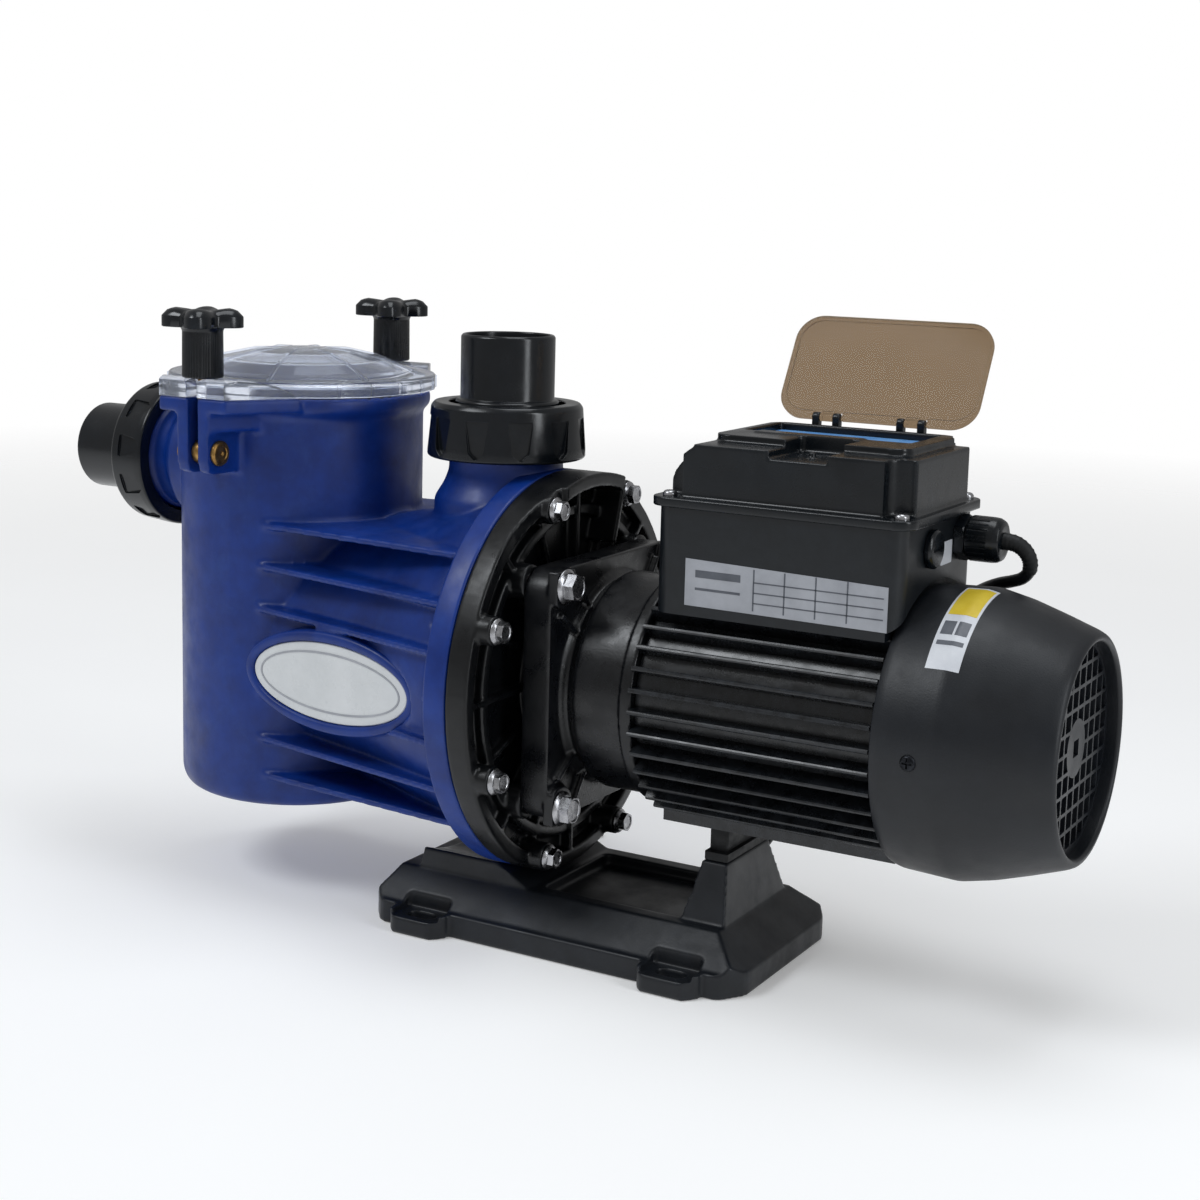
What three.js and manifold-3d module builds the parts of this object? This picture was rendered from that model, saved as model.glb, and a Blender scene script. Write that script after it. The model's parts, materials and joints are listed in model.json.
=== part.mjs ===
// Self-priming pool pump with a strainer pot, a finned motor and a control box.
// Millimetres, +Z up. The shaft runs along X, from the strainer pot (-X) to the fan (+X).
// The origin is under the middle of the pump, on the surface that it stands on.
import * as THREE from 'three';
import { mergeVertices } from 'three/addons/utils/BufferGeometryUtils.js';
import Module from 'manifold-3d';

const wasm = await Module();
wasm.setup();

// ---------------------------------------------------------------- driving dimensions
const GAP = 0.3; // clearance between neighbouring pieces
const AXIS_Z = 137.2; // height of the shaft
const POT = { x: -155.1, r: 67.7, bottom: 48.9, top: 276.1, ledge: 203, rimR: 71.5, rimH: 8, inR: 60,
  mouthR: 63.4, floor: 54 };
const LID_RING = { r: 67, section: 1.45 }; // the two sealing rings
const CASE_RING = { r: 90, section: 1.45 };
const LID = { r: 74.4, bottom: 276.4, band: 8.6, top: 298.5, wall: 4 };
const SUCTION = { z: 231.55, end: -304.3, nutOut: -264.4, nutIn: -239.2, neck: -252.8 };
const DISCHARGE = { x: -18.9, end: 312.9, nutOut: 277.3, nutIn: 248.2, neck: 265.7 };
const TAIL_R = 25; // the pipe spigots are 50 mm outside
const BORE_R = 22.5;
const NUT_R = 42.1;
const NUT = { panels: 11, phase: -47.7, lip: 6, lipR: 31, threadR: 34, floorR: 39.3 };
const TAIL = { collarR: 32.6, collarH: 5, stepR: 27.5, stepH: 13 };
const NECK_R = 30.4;
const FLANGE = { r: 106.25, back: 1.3, split: 14.3, front: 27.4 };
const CASE_BOLT = { count: 8, circle: 98.7, seat: 34.8, r: 3, headR: 6.7 };
const EAR = { half: 22, root: 44, front: 94.4, back: 58, forkW: 7.4, shelf: 8 };
const SWING = { y: 85, z: 247, front: 94.4, bottom: 235.5, slot: 6.6, width: 20.4 };
const KNOB = { foot: 286.4, under: 313, top: 323.2, lobe: 17.4, swell: 4.1, turn: 29.5, stemR: 10.9 };
const ADAPTER = { back: 34, face: 49.5, boss: 53.2, half: 65, bolt: 57, barrelR: 57, end: 92.7, rimX: 86,
  rimR: 60, roomR: 44, roomX: 80, holeR: 13 };
const MOTOR = { front: 93, rear: 219, finR: 64, rootR: 55, boreR: 49, fins: 36, finW: 2.6 };
const FOOT = { z: 72.2, half: 21 };
const COWL = { front: 221, widest: 252, end: 304.3, r: 67.8, rMax: 70.5, rEnd: 54.7, lip: 50.8 };
const GRILLE = { x: 297.2, thick: 2.4, pitch: 9.6, bar: 1.7, discR: 14, hole: 8 };
const BOX = { x0: 97.5, x1: 225.5, y: 49.2, bottom: 186, top: 238.2, wall: 3, floor: 197, stepX: 215.5,
  stepZ: 212.5 };
const RIM = { x0: 94, x1: 230, y: 51.5, z0: 238.5, z1: 243.2 };
const COVER = { x0: 99.5, x1: 226, y: 47.2, top: 269.6, wall: 3 };
const BEZEL = { x0: 116.5, x1: 217.5, y0: -28, y1: 46.5, top: 273.2 };
const LOOK_LID = { x0: 113.5, x1: 221.5, depth: 59, thick: 2.6, y: 52.6, z: 276.6, open: 120 };
const HINGES = [142.5, 188.5]; // the two hinges of the see-through lid
const KEYPAD = { x0: 121, x1: 208, y0: 0, y1: 43.5, z0: 268, z1: 269.4 };
const LATCH = { x0: 131, x1: 186, y0: -10, y1: -1, top: 273.9 }; // the bar that holds the shut lid
const KEYS = [['button_speed_1', 146], ['button_speed_2', 160.5], ['button_speed_3', 175],
  ['button_stop', 189.5]];
const KEY = { r: 5.4, y: 20, top: 270.3, pocket: 265.9 };
const GLAND = { y: 28, z: 226.2 };
const BLANK = { y: -12, z: 225.5, r: 9.5 };
const BASE = { x0: -66, x1: 155.5, y: 61, edge: 12.5, ridge: 27.6, inset: 19 };
const EARS = [-44.5, 104]; // left ends of the two pairs of fixing ears
const CORD_R = 3.1;
const FINE = 28; // sides of a large, a middling and a small round
const MID = 16;
const SMALL = 8;

// ---------------------------------------------------------------- materials
const skin = (color, roughness, metalness = 0) =>
  new THREE.MeshStandardMaterial({ color, roughness, metalness });
const blue = () => skin(0x14307f, 0.5);
const black = () => skin(0x16181b, 0.45);
const cast = () => skin(0x1b1d20, 0.5, 0.3);
const steel = () => skin(0xc9c8c2, 0.25, 1);
const rubber = () => skin(0x0e0e0f, 0.8);

// ---------------------------------------------------------------- joins and cuts
/** Reads a three.js geometry as a solid. */
function solid(geometry) {
  const g = geometry.clone();
  g.deleteAttribute('normal');
  g.deleteAttribute('uv');
  const merged = mergeVertices(g, 1e-4);
  return new wasm.Manifold(new wasm.Mesh({
    numProp: 3,
    vertProperties: new Float32Array(merged.attributes.position.array),
    triVerts: new Uint32Array(merged.index.array),
  }));
}

/** Writes a solid back as a three.js geometry. */
function geometryOf(manifold) {
  const mesh = manifold.getMesh();
  const g = new THREE.BufferGeometry();
  g.setAttribute('position', new THREE.BufferAttribute(new Float32Array(mesh.vertProperties), 3));
  g.setIndex(new THREE.BufferAttribute(new Uint32Array(mesh.triVerts), 1));
  return g;
}

const join = (...parts) => geometryOf(parts.map(solid).reduce((a, b) => a.add(b)));
const cut = (body, ...tools) => geometryOf(tools.map(solid).reduce((a, b) => a.subtract(b), solid(body)));
const common = (a, b) => geometryOf(solid(a).intersect(solid(b)));

// ---------------------------------------------------------------- basic shapes
const X = new THREE.Vector3(1, 0, 0);
const Y = new THREE.Vector3(0, 1, 0);
const Z = new THREE.Vector3(0, 0, 1);
const toShaft = new THREE.Matrix4().makeRotationY(Math.PI / 2).setPosition(0, 0, AXIS_Z);

/** A block given by its limits along X, Y and Z. */
function block(x0, x1, y0, y1, z0, z1) {
  return new THREE.BoxGeometry(x1 - x0, y1 - y0, z1 - z0)
    .translate((x0 + x1) / 2, (y0 + y1) / 2, (z0 + z1) / 2);
}

/** A solid of revolution about +Z. The profile is a list of [radius, height] points. */
function turned(profile, segments = 32) {
  const points = profile.map(([r, h]) => new THREE.Vector2(r, h));
  if (profile[0][0] > 0) points.push(points[0].clone());
  return new THREE.LatheGeometry(points, segments).rotateX(Math.PI / 2);
}

/** A solid of revolution about the shaft. The profile is a list of [x, radius] points. */
const spun = (profile, segments = 32) =>
  turned(profile.map(([x, r]) => [r, x]), segments).applyMatrix4(toShaft);

/** An upright rod, or a tube if an inner radius is given. */
function rod(r, z0, z1, segments = 24, inner = 0) {
  return turned([[inner, z0], [r, z0], [r, z1], [inner, z1]], segments);
}

/** The same lying along X. */
const rodX = (r, x0, x1, y, z, segments = 24, inner = 0) =>
  rod(r, x0, x1, segments, inner).rotateY(Math.PI / 2).translate(0, y, z);

/** An outline of [a, b] points, raised along Z. */
function slab(outline, z0, z1, holes = []) {
  const shape = new THREE.Shape(outline.map(([a, b]) => new THREE.Vector2(a, b)));
  for (const hole of holes) {
    shape.holes.push(new THREE.Path(hole.map(([a, b]) => new THREE.Vector2(a, b))));
  }
  return new THREE.ExtrudeGeometry(shape, { depth: z1 - z0, bevelEnabled: false }).translate(0, 0, z0);
}

/** An outline of [y, z] points, raised along X. */
const slabX = (outline, x0, x1, holes) =>
  slab(outline, x0, x1, holes).applyMatrix4(new THREE.Matrix4().makeBasis(Y, Z, X));

/** An outline of [x, z] points, raised along Y. */
const slabY = (outline, y0, y1, holes) =>
  slab(outline, -y1, -y0, holes).applyMatrix4(new THREE.Matrix4().makeBasis(X, Z, Y.clone().negate()));

/** Corner points of a rectangle with rounded corners. */
function rounded(x0, x1, y0, y1, r, steps = 3) {
  const centres = [[x1 - r, y1 - r], [x0 + r, y1 - r], [x0 + r, y0 + r], [x1 - r, y0 + r]];
  return centres.flatMap(([cx, cy], quarter) =>
    Array.from({ length: steps + 1 }, (_, i) => {
      const a = (quarter + i / steps) * Math.PI / 2;
      return [cx + r * Math.cos(a), cy + r * Math.sin(a)];
    }));
}

/** Points round an ellipse or a circle. */
const oval = (cx, cy, rx, ry, count) =>
  Array.from({ length: count }, (_, i) => {
    const a = i / count * 2 * Math.PI;
    return [cx + rx * Math.cos(a), cy + ry * Math.sin(a)];
  });

/** The mirror image on the other side of the pump. */
function mirrored(geometry) {
  const g = mergeVertices(geometry.clone().deleteAttribute('normal').deleteAttribute('uv'));
  g.scale(1, -1, 1);
  const index = Array.from(g.index.array);
  for (let i = 0; i < index.length; i += 3) [index[i], index[i + 1]] = [index[i + 1], index[i]];
  g.setIndex(index);
  return g;
}

/** Copies of a shape turned about the shaft by the given angles in degrees. */
const roundShaft = (geometry, angles) => angles.map((a) =>
  geometry.clone().translate(0, 0, -AXIS_Z).rotateX(a * Math.PI / 180).translate(0, 0, AXIS_Z));

/** Copies of a shape turned about a vertical line. */
const roundUpright = (geometry, angles, x = 0, y = 0) => angles.map((a) =>
  geometry.clone().translate(-x, -y, 0).rotateZ(a * Math.PI / 180).translate(x, y, 0));

const steps = (count, start = 0, turn = 360) =>
  Array.from({ length: count }, (_, i) => start + turn / count * i);

// ---------------------------------------------------------------- the finished pump
const pump = new THREE.Group();
pump.name = 'pool_pump';

/** Adds one named piece. */
function piece(name, geometry, material) {
  const mesh = new THREE.Mesh(geometry, material);
  mesh.name = name;
  pump.add(mesh);
  return mesh;
}

// ---------------------------------------------------------------- pump casing and strainer pot
const RIB_HEIGHTS = [207, 184.5, 161.5, 139, 115.5, 89.5, 68.5];
const RIB_THICK = 3.4;

/** The level ribs along both sides, from the strainer pot out to the flange. */
function casingRibs() {
  return RIB_HEIGHTS.map((z) => {
    const reach = Math.sqrt(105.8 ** 2 - (z - AXIS_Z) ** 2);
    const outline = [[-145, -63], [2, -reach], [2, reach], [-145, 63]];
    return slab(outline, z - RIB_THICK / 2, z + RIB_THICK / 2);
  });
}

/** The upright oval frame on the near side that holds the name plate. */
const BADGE = { x: -73.5, y: -81, z: 132, rx: 54.5, ry: 21.3, frame: 5.5, lean: 6.3, deep: 3, clear: 30 };
const faceBadge = (g) => g.rotateX(Math.PI / 2).rotateZ(-BADGE.lean * Math.PI / 180)
  .translate(BADGE.x, BADGE.y, BADGE.z);

function badgeFrame() {
  const outer = oval(0, 0, BADGE.rx + BADGE.frame, BADGE.ry + BADGE.frame, 24);
  return faceBadge(slab(outer, -22, BADGE.deep));
}

/** The room for the plate inside the frame, and the room in front of the frame, where the ribs end. */
const badgeRoom = () => [faceBadge(slab(oval(0, 0, BADGE.rx, BADGE.ry, 24), 0, BADGE.deep + BADGE.clear)),
  faceBadge(slab(oval(0, 0, BADGE.rx + BADGE.frame, BADGE.ry + BADGE.frame, 24), BADGE.deep,
    BADGE.deep + BADGE.clear))];

/** One forked lug that carries a swing bolt, on the -Y side. */
function boltLug() {
  const back = -POT.r + 8;
  const side = [[back, SWING.bottom], [-SWING.front + 7, SWING.bottom], [-SWING.front + 2, SWING.bottom + 2],
    [-SWING.front, SWING.bottom + 7], [-SWING.front, POT.top - 2], [back, POT.top - 2]];
  return slabX(side, POT.x - SWING.width / 2, POT.x + SWING.width / 2);
}

/** The outline, seen from above, of the ear over a lug and of the shelf that carries it. */
const earOutline = () => [[POT.x - EAR.half, -EAR.front], [POT.x + EAR.half, -EAR.front],
  [POT.x + EAR.root, -EAR.back], [POT.x - EAR.root, -EAR.back]];

/** The slot of a lug, with the pin's hole. */
function boltLugCuts() {
  const slot = block(POT.x - SWING.slot / 2, POT.x + SWING.slot / 2,
    -SWING.front - 1, -POT.r - 6.5, SWING.bottom - 1, POT.top + 1);
  return [slot, rodX(3.4, POT.x - 15, POT.x + 15, -SWING.y, SWING.z, 16)];
}

function pumpBody() {
  const { bottom, top, ledge, r, inR, mouthR, floor, rimR, rimH } = POT;
  const pot = turned([[0, bottom], [r - 9, bottom], [r - 2.6, bottom + 3], [r, bottom + 9],
    [r, top - rimH - 3], [rimR, top - rimH], [rimR, top], [0, top]], FINE).translate(POT.x, 0, 0);
  const trunk = spun([[-150, 0], [-150, 58], [-60, 80], [-4, 97], [FLANGE.back, 97],
    [FLANGE.back, FLANGE.r], [FLANGE.split, FLANGE.r], [FLANGE.split, 0]], 32);
  const outlet = turned([[0, AXIS_Z + 40], [38, AXIS_Z + 40], [38, 226], [33, 234], [NECK_R, 241],
    [NECK_R, DISCHARGE.nutIn + 1], [33, DISCHARGE.nutIn + 1], [33, DISCHARGE.neck],
    [0, DISCHARGE.neck]], MID).translate(DISCHARGE.x, 0, 0);
  const inlet = turned([[0, 150], [38, 150], [38, 222], [NECK_R, 230], [NECK_R, -SUCTION.nutIn + 1],
    [33, -SUCTION.nutIn + 1], [33, -SUCTION.neck], [0, -SUCTION.neck]], MID)
    .rotateY(-Math.PI / 2).translate(0, 0, SUCTION.z);
  const lug = join(boltLug(), slab(earOutline(), POT.top - EAR.shelf, POT.top));
  const outside = join(pot, trunk, outlet, inlet, ...casingRibs(), badgeFrame(), lug, mirrored(lug));
  const beyond = block(FLANGE.split, FLANGE.split + 30, -60, 60, 160, 245);

  const lugCuts = boltLugCuts();
  const potHollow = turned([[0, floor], [inR - 4, floor], [inR, floor + 6], [inR, ledge], [mouthR, ledge],
    [mouthR, top + 1], [0, top + 1]], FINE).translate(POT.x, 0, 0);
  const sealGroove = turned([[LID_RING.r - 2, top - 3], [LID_RING.r + 2, top - 3], [LID_RING.r + 2, top + 1],
    [LID_RING.r - 2, top + 1]], FINE).translate(POT.x, 0, 0);
  const eye = rodX(26, POT.x + 20, -20, 0, AXIS_Z, MID);
  const volute = spun([[-62, 0], [-62, 60], [-20, 84], [FLANGE.split + 1, 86], [FLANGE.split + 1, 0]], MID);
  const ringGroove = spun([[FLANGE.split - 3, CASE_RING.r - 2], [FLANGE.split - 3, CASE_RING.r + 2],
    [FLANGE.split + 1, CASE_RING.r + 2], [FLANGE.split + 1, CASE_RING.r - 2]], FINE);
  const outletBore = rod(BORE_R, AXIS_Z + 30, DISCHARGE.neck + 1, MID).translate(DISCHARGE.x, 0, 0);
  const inletBore = rodX(BORE_R, SUCTION.neck - 1, POT.x, 0, SUCTION.z, MID);
  const boltHole = rodX(CASE_BOLT.r + 0.3, -6, FLANGE.split + 1, 0, AXIS_Z + CASE_BOLT.circle, 8);
  return cut(outside, beyond, ...lugCuts, ...lugCuts.map(mirrored), potHollow, sealGroove, eye, volute,
    ringGroove, outletBore, inletBore, ...badgeRoom(), ...roundShaft(boltHole, steps(CASE_BOLT.count, 22.5)));
}
piece('pump_body', pumpBody(), blue());

const badge = faceBadge(slab(oval(0, 0, BADGE.rx - GAP, BADGE.ry - GAP, 24), GAP, BADGE.deep - 0.6));
piece('badge_plate', badge, skin(0xd8d9dc, 0.35));

/** A round sealing ring, drawn with a four-sided section. */
function sealRing(radius, section) {
  return turned(oval(radius, 0, section, section, 4), FINE);
}
piece('lid_oring', sealRing(LID_RING.r, LID_RING.section).translate(POT.x, 0, POT.top - 1.5), rubber());
piece('casing_oring', sealRing(CASE_RING.r, CASE_RING.section).applyMatrix4(toShaft)
  .translate(FLANGE.split - 1.5, 0, 0), rubber());

// ---------------------------------------------------------------- pipe unions
/** A pipe spigot with the collar that its nut pulls down. It stands on z = 0, at the neck's end. */
function unionTail(length) {
  const { collarR, collarH, stepR, stepH } = TAIL;
  return turned([[BORE_R, GAP], [collarR, GAP], [collarR, collarH], [stepR, collarH], [stepR, stepH],
    [TAIL_R, stepH], [TAIL_R, length - 1], [TAIL_R - 1, length], [BORE_R, length]], MID);
}

/** A union nut with sunk grip panels. It hangs from its inward lip, down over the neck's thread. */
function unionNut(height) {
  const { panels, phase, lip, lipR, threadR, floorR } = NUT;
  const body = turned([[threadR, 0], [NUT_R - 0.8, 0], [NUT_R, 1], [NUT_R, 5], [40.2, height - 2],
    [38.2, height], [lipR, height], [lipR, height - lip], [threadR, height - lip]], 2 * panels);
  const panel = slabX([[0, 1.3], [4.5, 5.3], [6.6, height - 7.3], [-6.6, height - 7.3], [-4.5, 5.3]],
    floorR, NUT_R + 3);
  return cut(body, ...roundUpright(panel, steps(panels, phase)));
}

const outletNutHeight = DISCHARGE.nutOut - DISCHARGE.nutIn;
piece('discharge_tail', unionTail(DISCHARGE.end - DISCHARGE.neck)
  .translate(DISCHARGE.x, 0, DISCHARGE.neck), black());
piece('discharge_nut', unionNut(outletNutHeight).translate(DISCHARGE.x, 0, DISCHARGE.nutIn), black());

const toInlet = new THREE.Matrix4().makeRotationY(-Math.PI / 2).setPosition(0, 0, SUCTION.z);
const inletNutHeight = SUCTION.nutIn - SUCTION.nutOut;
piece('suction_tail', unionTail(SUCTION.neck - SUCTION.end).translate(0, 0, -SUCTION.neck)
  .applyMatrix4(toInlet), black());
piece('suction_nut', unionNut(inletNutHeight).translate(0, 0, -SUCTION.nutIn).applyMatrix4(toInlet),
  black());

// ---------------------------------------------------------------- strainer lid, basket and swing bolts
const RIB_COUNT = 8;

/** The ear's top is part of a drum about the swing bolt's pin, so the knob's foot can swing off it. */
function lidEar() {
  const drum = rodX(KNOB.foot - SWING.z - GAP, POT.x - EAR.root, POT.x + EAR.root, -SWING.y, SWING.z, 28);
  return common(slab(earOutline(), LID.bottom, LID.top), drum);
}

const lidFork = () => block(POT.x - EAR.forkW / 2, POT.x + EAR.forkW / 2, -EAR.front - 1, -SWING.y + 4.4,
  LID.bottom - 1, KNOB.foot + 5);

function strainerLid() {
  const bandTop = LID.bottom + LID.band;
  const dome = turned([[0, LID.bottom], [LID.r, LID.bottom], [LID.r, bandTop - 1], [LID.r - 1, bandTop],
    [66, bandTop], [60, bandTop + 3], [46, bandTop + 8], [28, LID.top - 1.6], [12, LID.top], [0, LID.top]],
  FINE).translate(POT.x, 0, 0);
  const spigot = rod(62.8, LID.bottom - 7, LID.bottom + 1, FINE).translate(POT.x, 0, 0);
  const ear = lidEar();
  const ribs = roundUpright(slabY([[POT.x + 14, LID.top - 6], [POT.x + 70, bandTop - 4],
    [POT.x + 70, bandTop + 0.6], [POT.x + 47, bandTop + 8.6], [POT.x + 28, LID.top - 0.8],
    [POT.x + 14, LID.top]], -0.9, 0.9),
  steps(RIB_COUNT, 22.5), POT.x);
  const hollow = turned([[0, LID.bottom - 8], [58.5, LID.bottom - 8], [58.5, LID.bottom + 5],
    [44, bandTop + 4], [26, LID.top - 5.6], [0, LID.top - LID.wall]], MID).translate(POT.x, 0, 0);
  const fork = lidFork();
  return cut(join(dome, spigot, ...ribs, ear, mirrored(ear)), hollow, fork, mirrored(fork));
}
const seeThrough = (color, opacity) => Object.assign(skin(color, 0.1), { transparent: true, opacity });
piece('strainer_lid', strainerLid(), seeThrough(0xcfd6dc, 0.4));

function strainerBasket() {
  const rimZ = POT.ledge + GAP;
  const shell = turned([[0, 57], [50, 57], [52, 59], [58, rimZ], [62.9, rimZ], [62.9, rimZ + 3],
    [57.5, rimZ + 3], [55.8, 198], [50, 60.5], [0, 60.5]], MID);
  const bow = slabY([[-57.2, 200], [-53.6, 200], [-48, 232], [-30, 252], [30, 252], [48, 232], [53.6, 200],
    [57.2, 200], [51.5, 234.5], [32, 256], [-32, 256], [-51.5, 234.5]], -2.4, 2.4).rotateZ(Math.PI / 2);
  const slots = [70, 132].flatMap((z) =>
    roundUpright(block(44, 62, -2.4, 2.4, z, z + 52), steps(10, 9)));
  return cut(join(shell, bow), ...slots).translate(POT.x, 0, 0);
}
piece('strainer_basket', strainerBasket(), skin(0xb9bcc0, 0.5));

/** A swing bolt with its eye on the pin, on the -Y side. */
function swingBolt() {
  const eye = rodX(6.4, POT.x - 2.9, POT.x + 2.9, -SWING.y, SWING.z, 16);
  const shank = rod(2.9, SWING.z, KNOB.under + 2, SMALL).translate(POT.x, -SWING.y, 0);
  return cut(join(eye, shank), rodX(2.75, POT.x - 4, POT.x + 4, -SWING.y, SWING.z, SMALL));
}

/** The brass pin: a rod with a broad head on each side of the lug. */
function hingePin() {
  const w = SWING.width / 2 + GAP;
  return turned([[0, -w - 2.6], [5.6, -w - 2.6], [6.8, -w - 1.6], [6.8, -w], [2.55, -w], [2.55, w], [6.8, w],
    [6.8, w + 1.6], [5.6, w + 2.6], [0, w + 2.6]], SMALL).rotateY(Math.PI / 2)
    .translate(POT.x, -SWING.y, SWING.z);
}

/** A hand knob on the -Y side: a tube with a four-lobed grip, threaded on the swing bolt. */
function handKnob() {
  const turn = KNOB.turn * Math.PI / 180;
  const lobes = Array.from({ length: 24 }, (_, i) => {
    const a = i / 24 * 2 * Math.PI;
    const r = KNOB.lobe + KNOB.swell * Math.cos(4 * a);
    return [r * Math.cos(a + turn), r * Math.sin(a + turn)];
  });
  const grip = common(slab(lobes, KNOB.under, KNOB.top),
    turned([[0, KNOB.under - 1], [24, KNOB.under - 1], [24, KNOB.top - 4.5], [18, KNOB.top - 1.2],
      [0, KNOB.top]], MID));
  const stem = rod(KNOB.stemR, KNOB.foot, KNOB.under + 1, 20);
  const thread = rod(3.3, KNOB.foot - 1, KNOB.under + 2.6, SMALL);
  return cut(join(grip, stem), thread).translate(POT.x, -SWING.y, 0);
}

const swing = swingBolt();
const pin = hingePin();
const knob = handKnob();
const brass = () => skin(0xb08a45, 0.35, 1);
piece('swing_bolt_near', swing, brass());
piece('swing_bolt_far', mirrored(swing), brass());
piece('hinge_pin_near', pin, brass());
piece('hinge_pin_far', mirrored(pin), brass());
piece('knob_near', knob, black());
piece('knob_far', knob.clone().translate(0, 2 * SWING.y, 0), black());

// ---------------------------------------------------------------- seal plate, impeller and shaft
const PLATE = { back: FLANGE.split + GAP, wet: 16.4, wetR: 84, floor: 20, bossR: 46, holeR: 20, ringIn: 83,
  ringOut: 89, ringX: 25.5, rimInner: 98.5 };
const HOOD = { near: -38, far: 17.2, inner: 99, x: 37.5 }; // angles from the top, in degrees

/** A radial rib on the seal plate, standing on its floor towards the motor. */
const plateRib = (r0, r1, height) => block(PLATE.floor - 1, height, -1.3, 1.3, AXIS_Z + r0, AXIS_Z + r1);

/** The raised hood over the top of the seal plate. It tapers off on the near side and ends in a wall
 *  on the far side. */
function plateHood() {
  const count = 12;
  const arc = steps(count + 1, HOOD.near, (HOOD.far - HOOD.near) * (count + 1) / count)
    .map((a) => a * Math.PI / 180);
  const at = (r, a) => [r * Math.sin(a), AXIS_Z + r * Math.cos(a)];
  const roof = slabX([...arc.map((a) => at(FLANGE.r, a)).reverse(), ...arc.map((a) => at(HOOD.inner, a))],
    PLATE.back + 2, HOOD.x);
  const taper = slab([[FLANGE.front - 1, -70], [HOOD.x + 1, -70], [HOOD.x + 1, -30.5], [34.4, -30.5]],
    AXIS_Z + 60, AXIS_Z + 120);
  const wall = block(PLATE.floor - 1, HOOD.x, -1.6, 1.6, AXIS_Z + 70, AXIS_Z + 103);
  return join(cut(roof, taper), ...roundShaft(wall, [-HOOD.far]));
}

function sealPlate() {
  const { back, wet, wetR, floor, bossR, holeR, ringIn, ringOut, ringX, rimInner } = PLATE;
  const body = spun([[wet, holeR], [wet, wetR], [back, wetR], [back, FLANGE.r], [FLANGE.front, FLANGE.r],
    [FLANGE.front, rimInner], [floor, rimInner], [floor, ringOut], [ringX, ringOut], [ringX, ringIn],
    [floor, ringIn], [floor, bossR], [ADAPTER.back - GAP, bossR], [ADAPTER.back - GAP, holeR]], 32);
  const boss = rodX(7.4, PLATE.floor - 1, CASE_BOLT.seat, 0, AXIS_Z + CASE_BOLT.circle, SMALL);
  const post = rodX(9, PLATE.floor - 1, ADAPTER.back - GAP, -ADAPTER.bolt, AXIS_Z + ADAPTER.bolt, SMALL);
  const ribs = [...roundShaft(plateRib(44, 99, 27), steps(8)),
    ...roundShaft(plateRib(60, 93, 25), steps(8, 22.5))];
  const hole = rodX(CASE_BOLT.r + 0.3, PLATE.back - 1, CASE_BOLT.seat + 1, 0, AXIS_Z + CASE_BOLT.circle, 8);
  const stud = rodX(4.3, PLATE.floor + 2, ADAPTER.back + 1, -ADAPTER.bolt, AXIS_Z + ADAPTER.bolt, 8);
  const bosses = [...roundShaft(boss, steps(8, 22.5)), ...roundShaft(post, steps(4))];
  return cut(join(body, ...ribs, ...bosses, plateHood()), ...roundShaft(hole, steps(8, 22.5)),
    ...roundShaft(stud, steps(4)));
}
piece('seal_plate', sealPlate(), black());

/** A flange-head hexagon screw along X, with its seat at x = 0 and its shank towards -X. */
function hexScrew(shankR, length, headR, flangeR, height) {
  const shank = rod(shankR, -length, 1, 8);
  const collar = turned([[0, 0], [flangeR, 0], [flangeR - 0.4, 1], [0, 2.2]], SMALL);
  const hexagon = turned([[0, 1], [headR, 1], [headR, height - 0.6], [headR - 0.9, height], [0, height]], 6);
  return join(shank, collar, hexagon).rotateY(Math.PI / 2);
}

const caseScrew = hexScrew(CASE_BOLT.r, 34, 5.3, CASE_BOLT.headR, 5.6)
  .translate(CASE_BOLT.seat + GAP, 0, AXIS_Z + CASE_BOLT.circle);
roundShaft(caseScrew, steps(8, 22.5)).forEach((screw, i) => piece(`casing_bolt_${i + 1}`, screw, steel()));
const adapterScrew = hexScrew(4, 28, 7.2, 8.9, 7.4)
  .translate(ADAPTER.boss + GAP, -ADAPTER.bolt, AXIS_Z + ADAPTER.bolt);
roundShaft(adapterScrew, steps(4)).forEach((screw, i) => piece(`adapter_bolt_${i + 1}`, screw, steel()));

/** A closed impeller: two shrouds with curved vanes between them, and a hub on the shaft. */
function impeller() {
  const front = spun([[-34, 24], [-34, 27], [-22, 29], [-13, 62], [-11, 62], [-19.5, 26.5], [-22, 24]], MID);
  const back = spun([[-4, 8.6], [-6.5, 62], [-4, 62], [-1, 14], [9, 13], [9, 8.6]], MID);
  const vane = slabX([[24, -1.2], [44, 6], [61, 19], [60, 21.4], [43, 8.6], [24, 1.2]], -14, -5);
  const band = spun([[-21.5, 23], [-11.8, 61.5], [-5, 61.5], [-5, 23]], MID);
  const vanes = steps(6).map((a) => common(vane.clone().rotateX(a * Math.PI / 180)
    .translate(0, 0, AXIS_Z), band));
  return join(front, back, ...vanes);
}
piece('impeller', impeller(), skin(0x2b2d30, 0.5));

/** The guide ring that fills the space round the impeller's mouth. */
function diffuser() {
  return spun([[-60, 29.6], [-60, 40], [-38, 64], [-9, 68], [-9, 83], [-6, 83], [-6, 65.5], [-33, 61],
    [-37, 29.6]], MID);
}
piece('diffuser', diffuser(), skin(0x2b2d30, 0.5));

piece('seal_rotating', spun([[9.6, 8.2], [9.6, 13], [15, 13], [15, 8.2]], 20), skin(0x4a4c50, 0.4));
piece('seal_seat', spun([[15.3, 8.6], [15.3, 19], [20, 19.6], [20, 8.6]], 20), skin(0xc8c4ba, 0.35));

function motorShaft() {
  return spun([[-20, 0], [-20, 7.6], [40, 7.6], [40, 9.6], [99, 9.6], [99, 12], [196, 12], [196, 8.6],
    [262, 8.6], [262, 6], [286, 6], [286, 0]], MID);
}
piece('motor_shaft', motorShaft(), steel());

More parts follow.
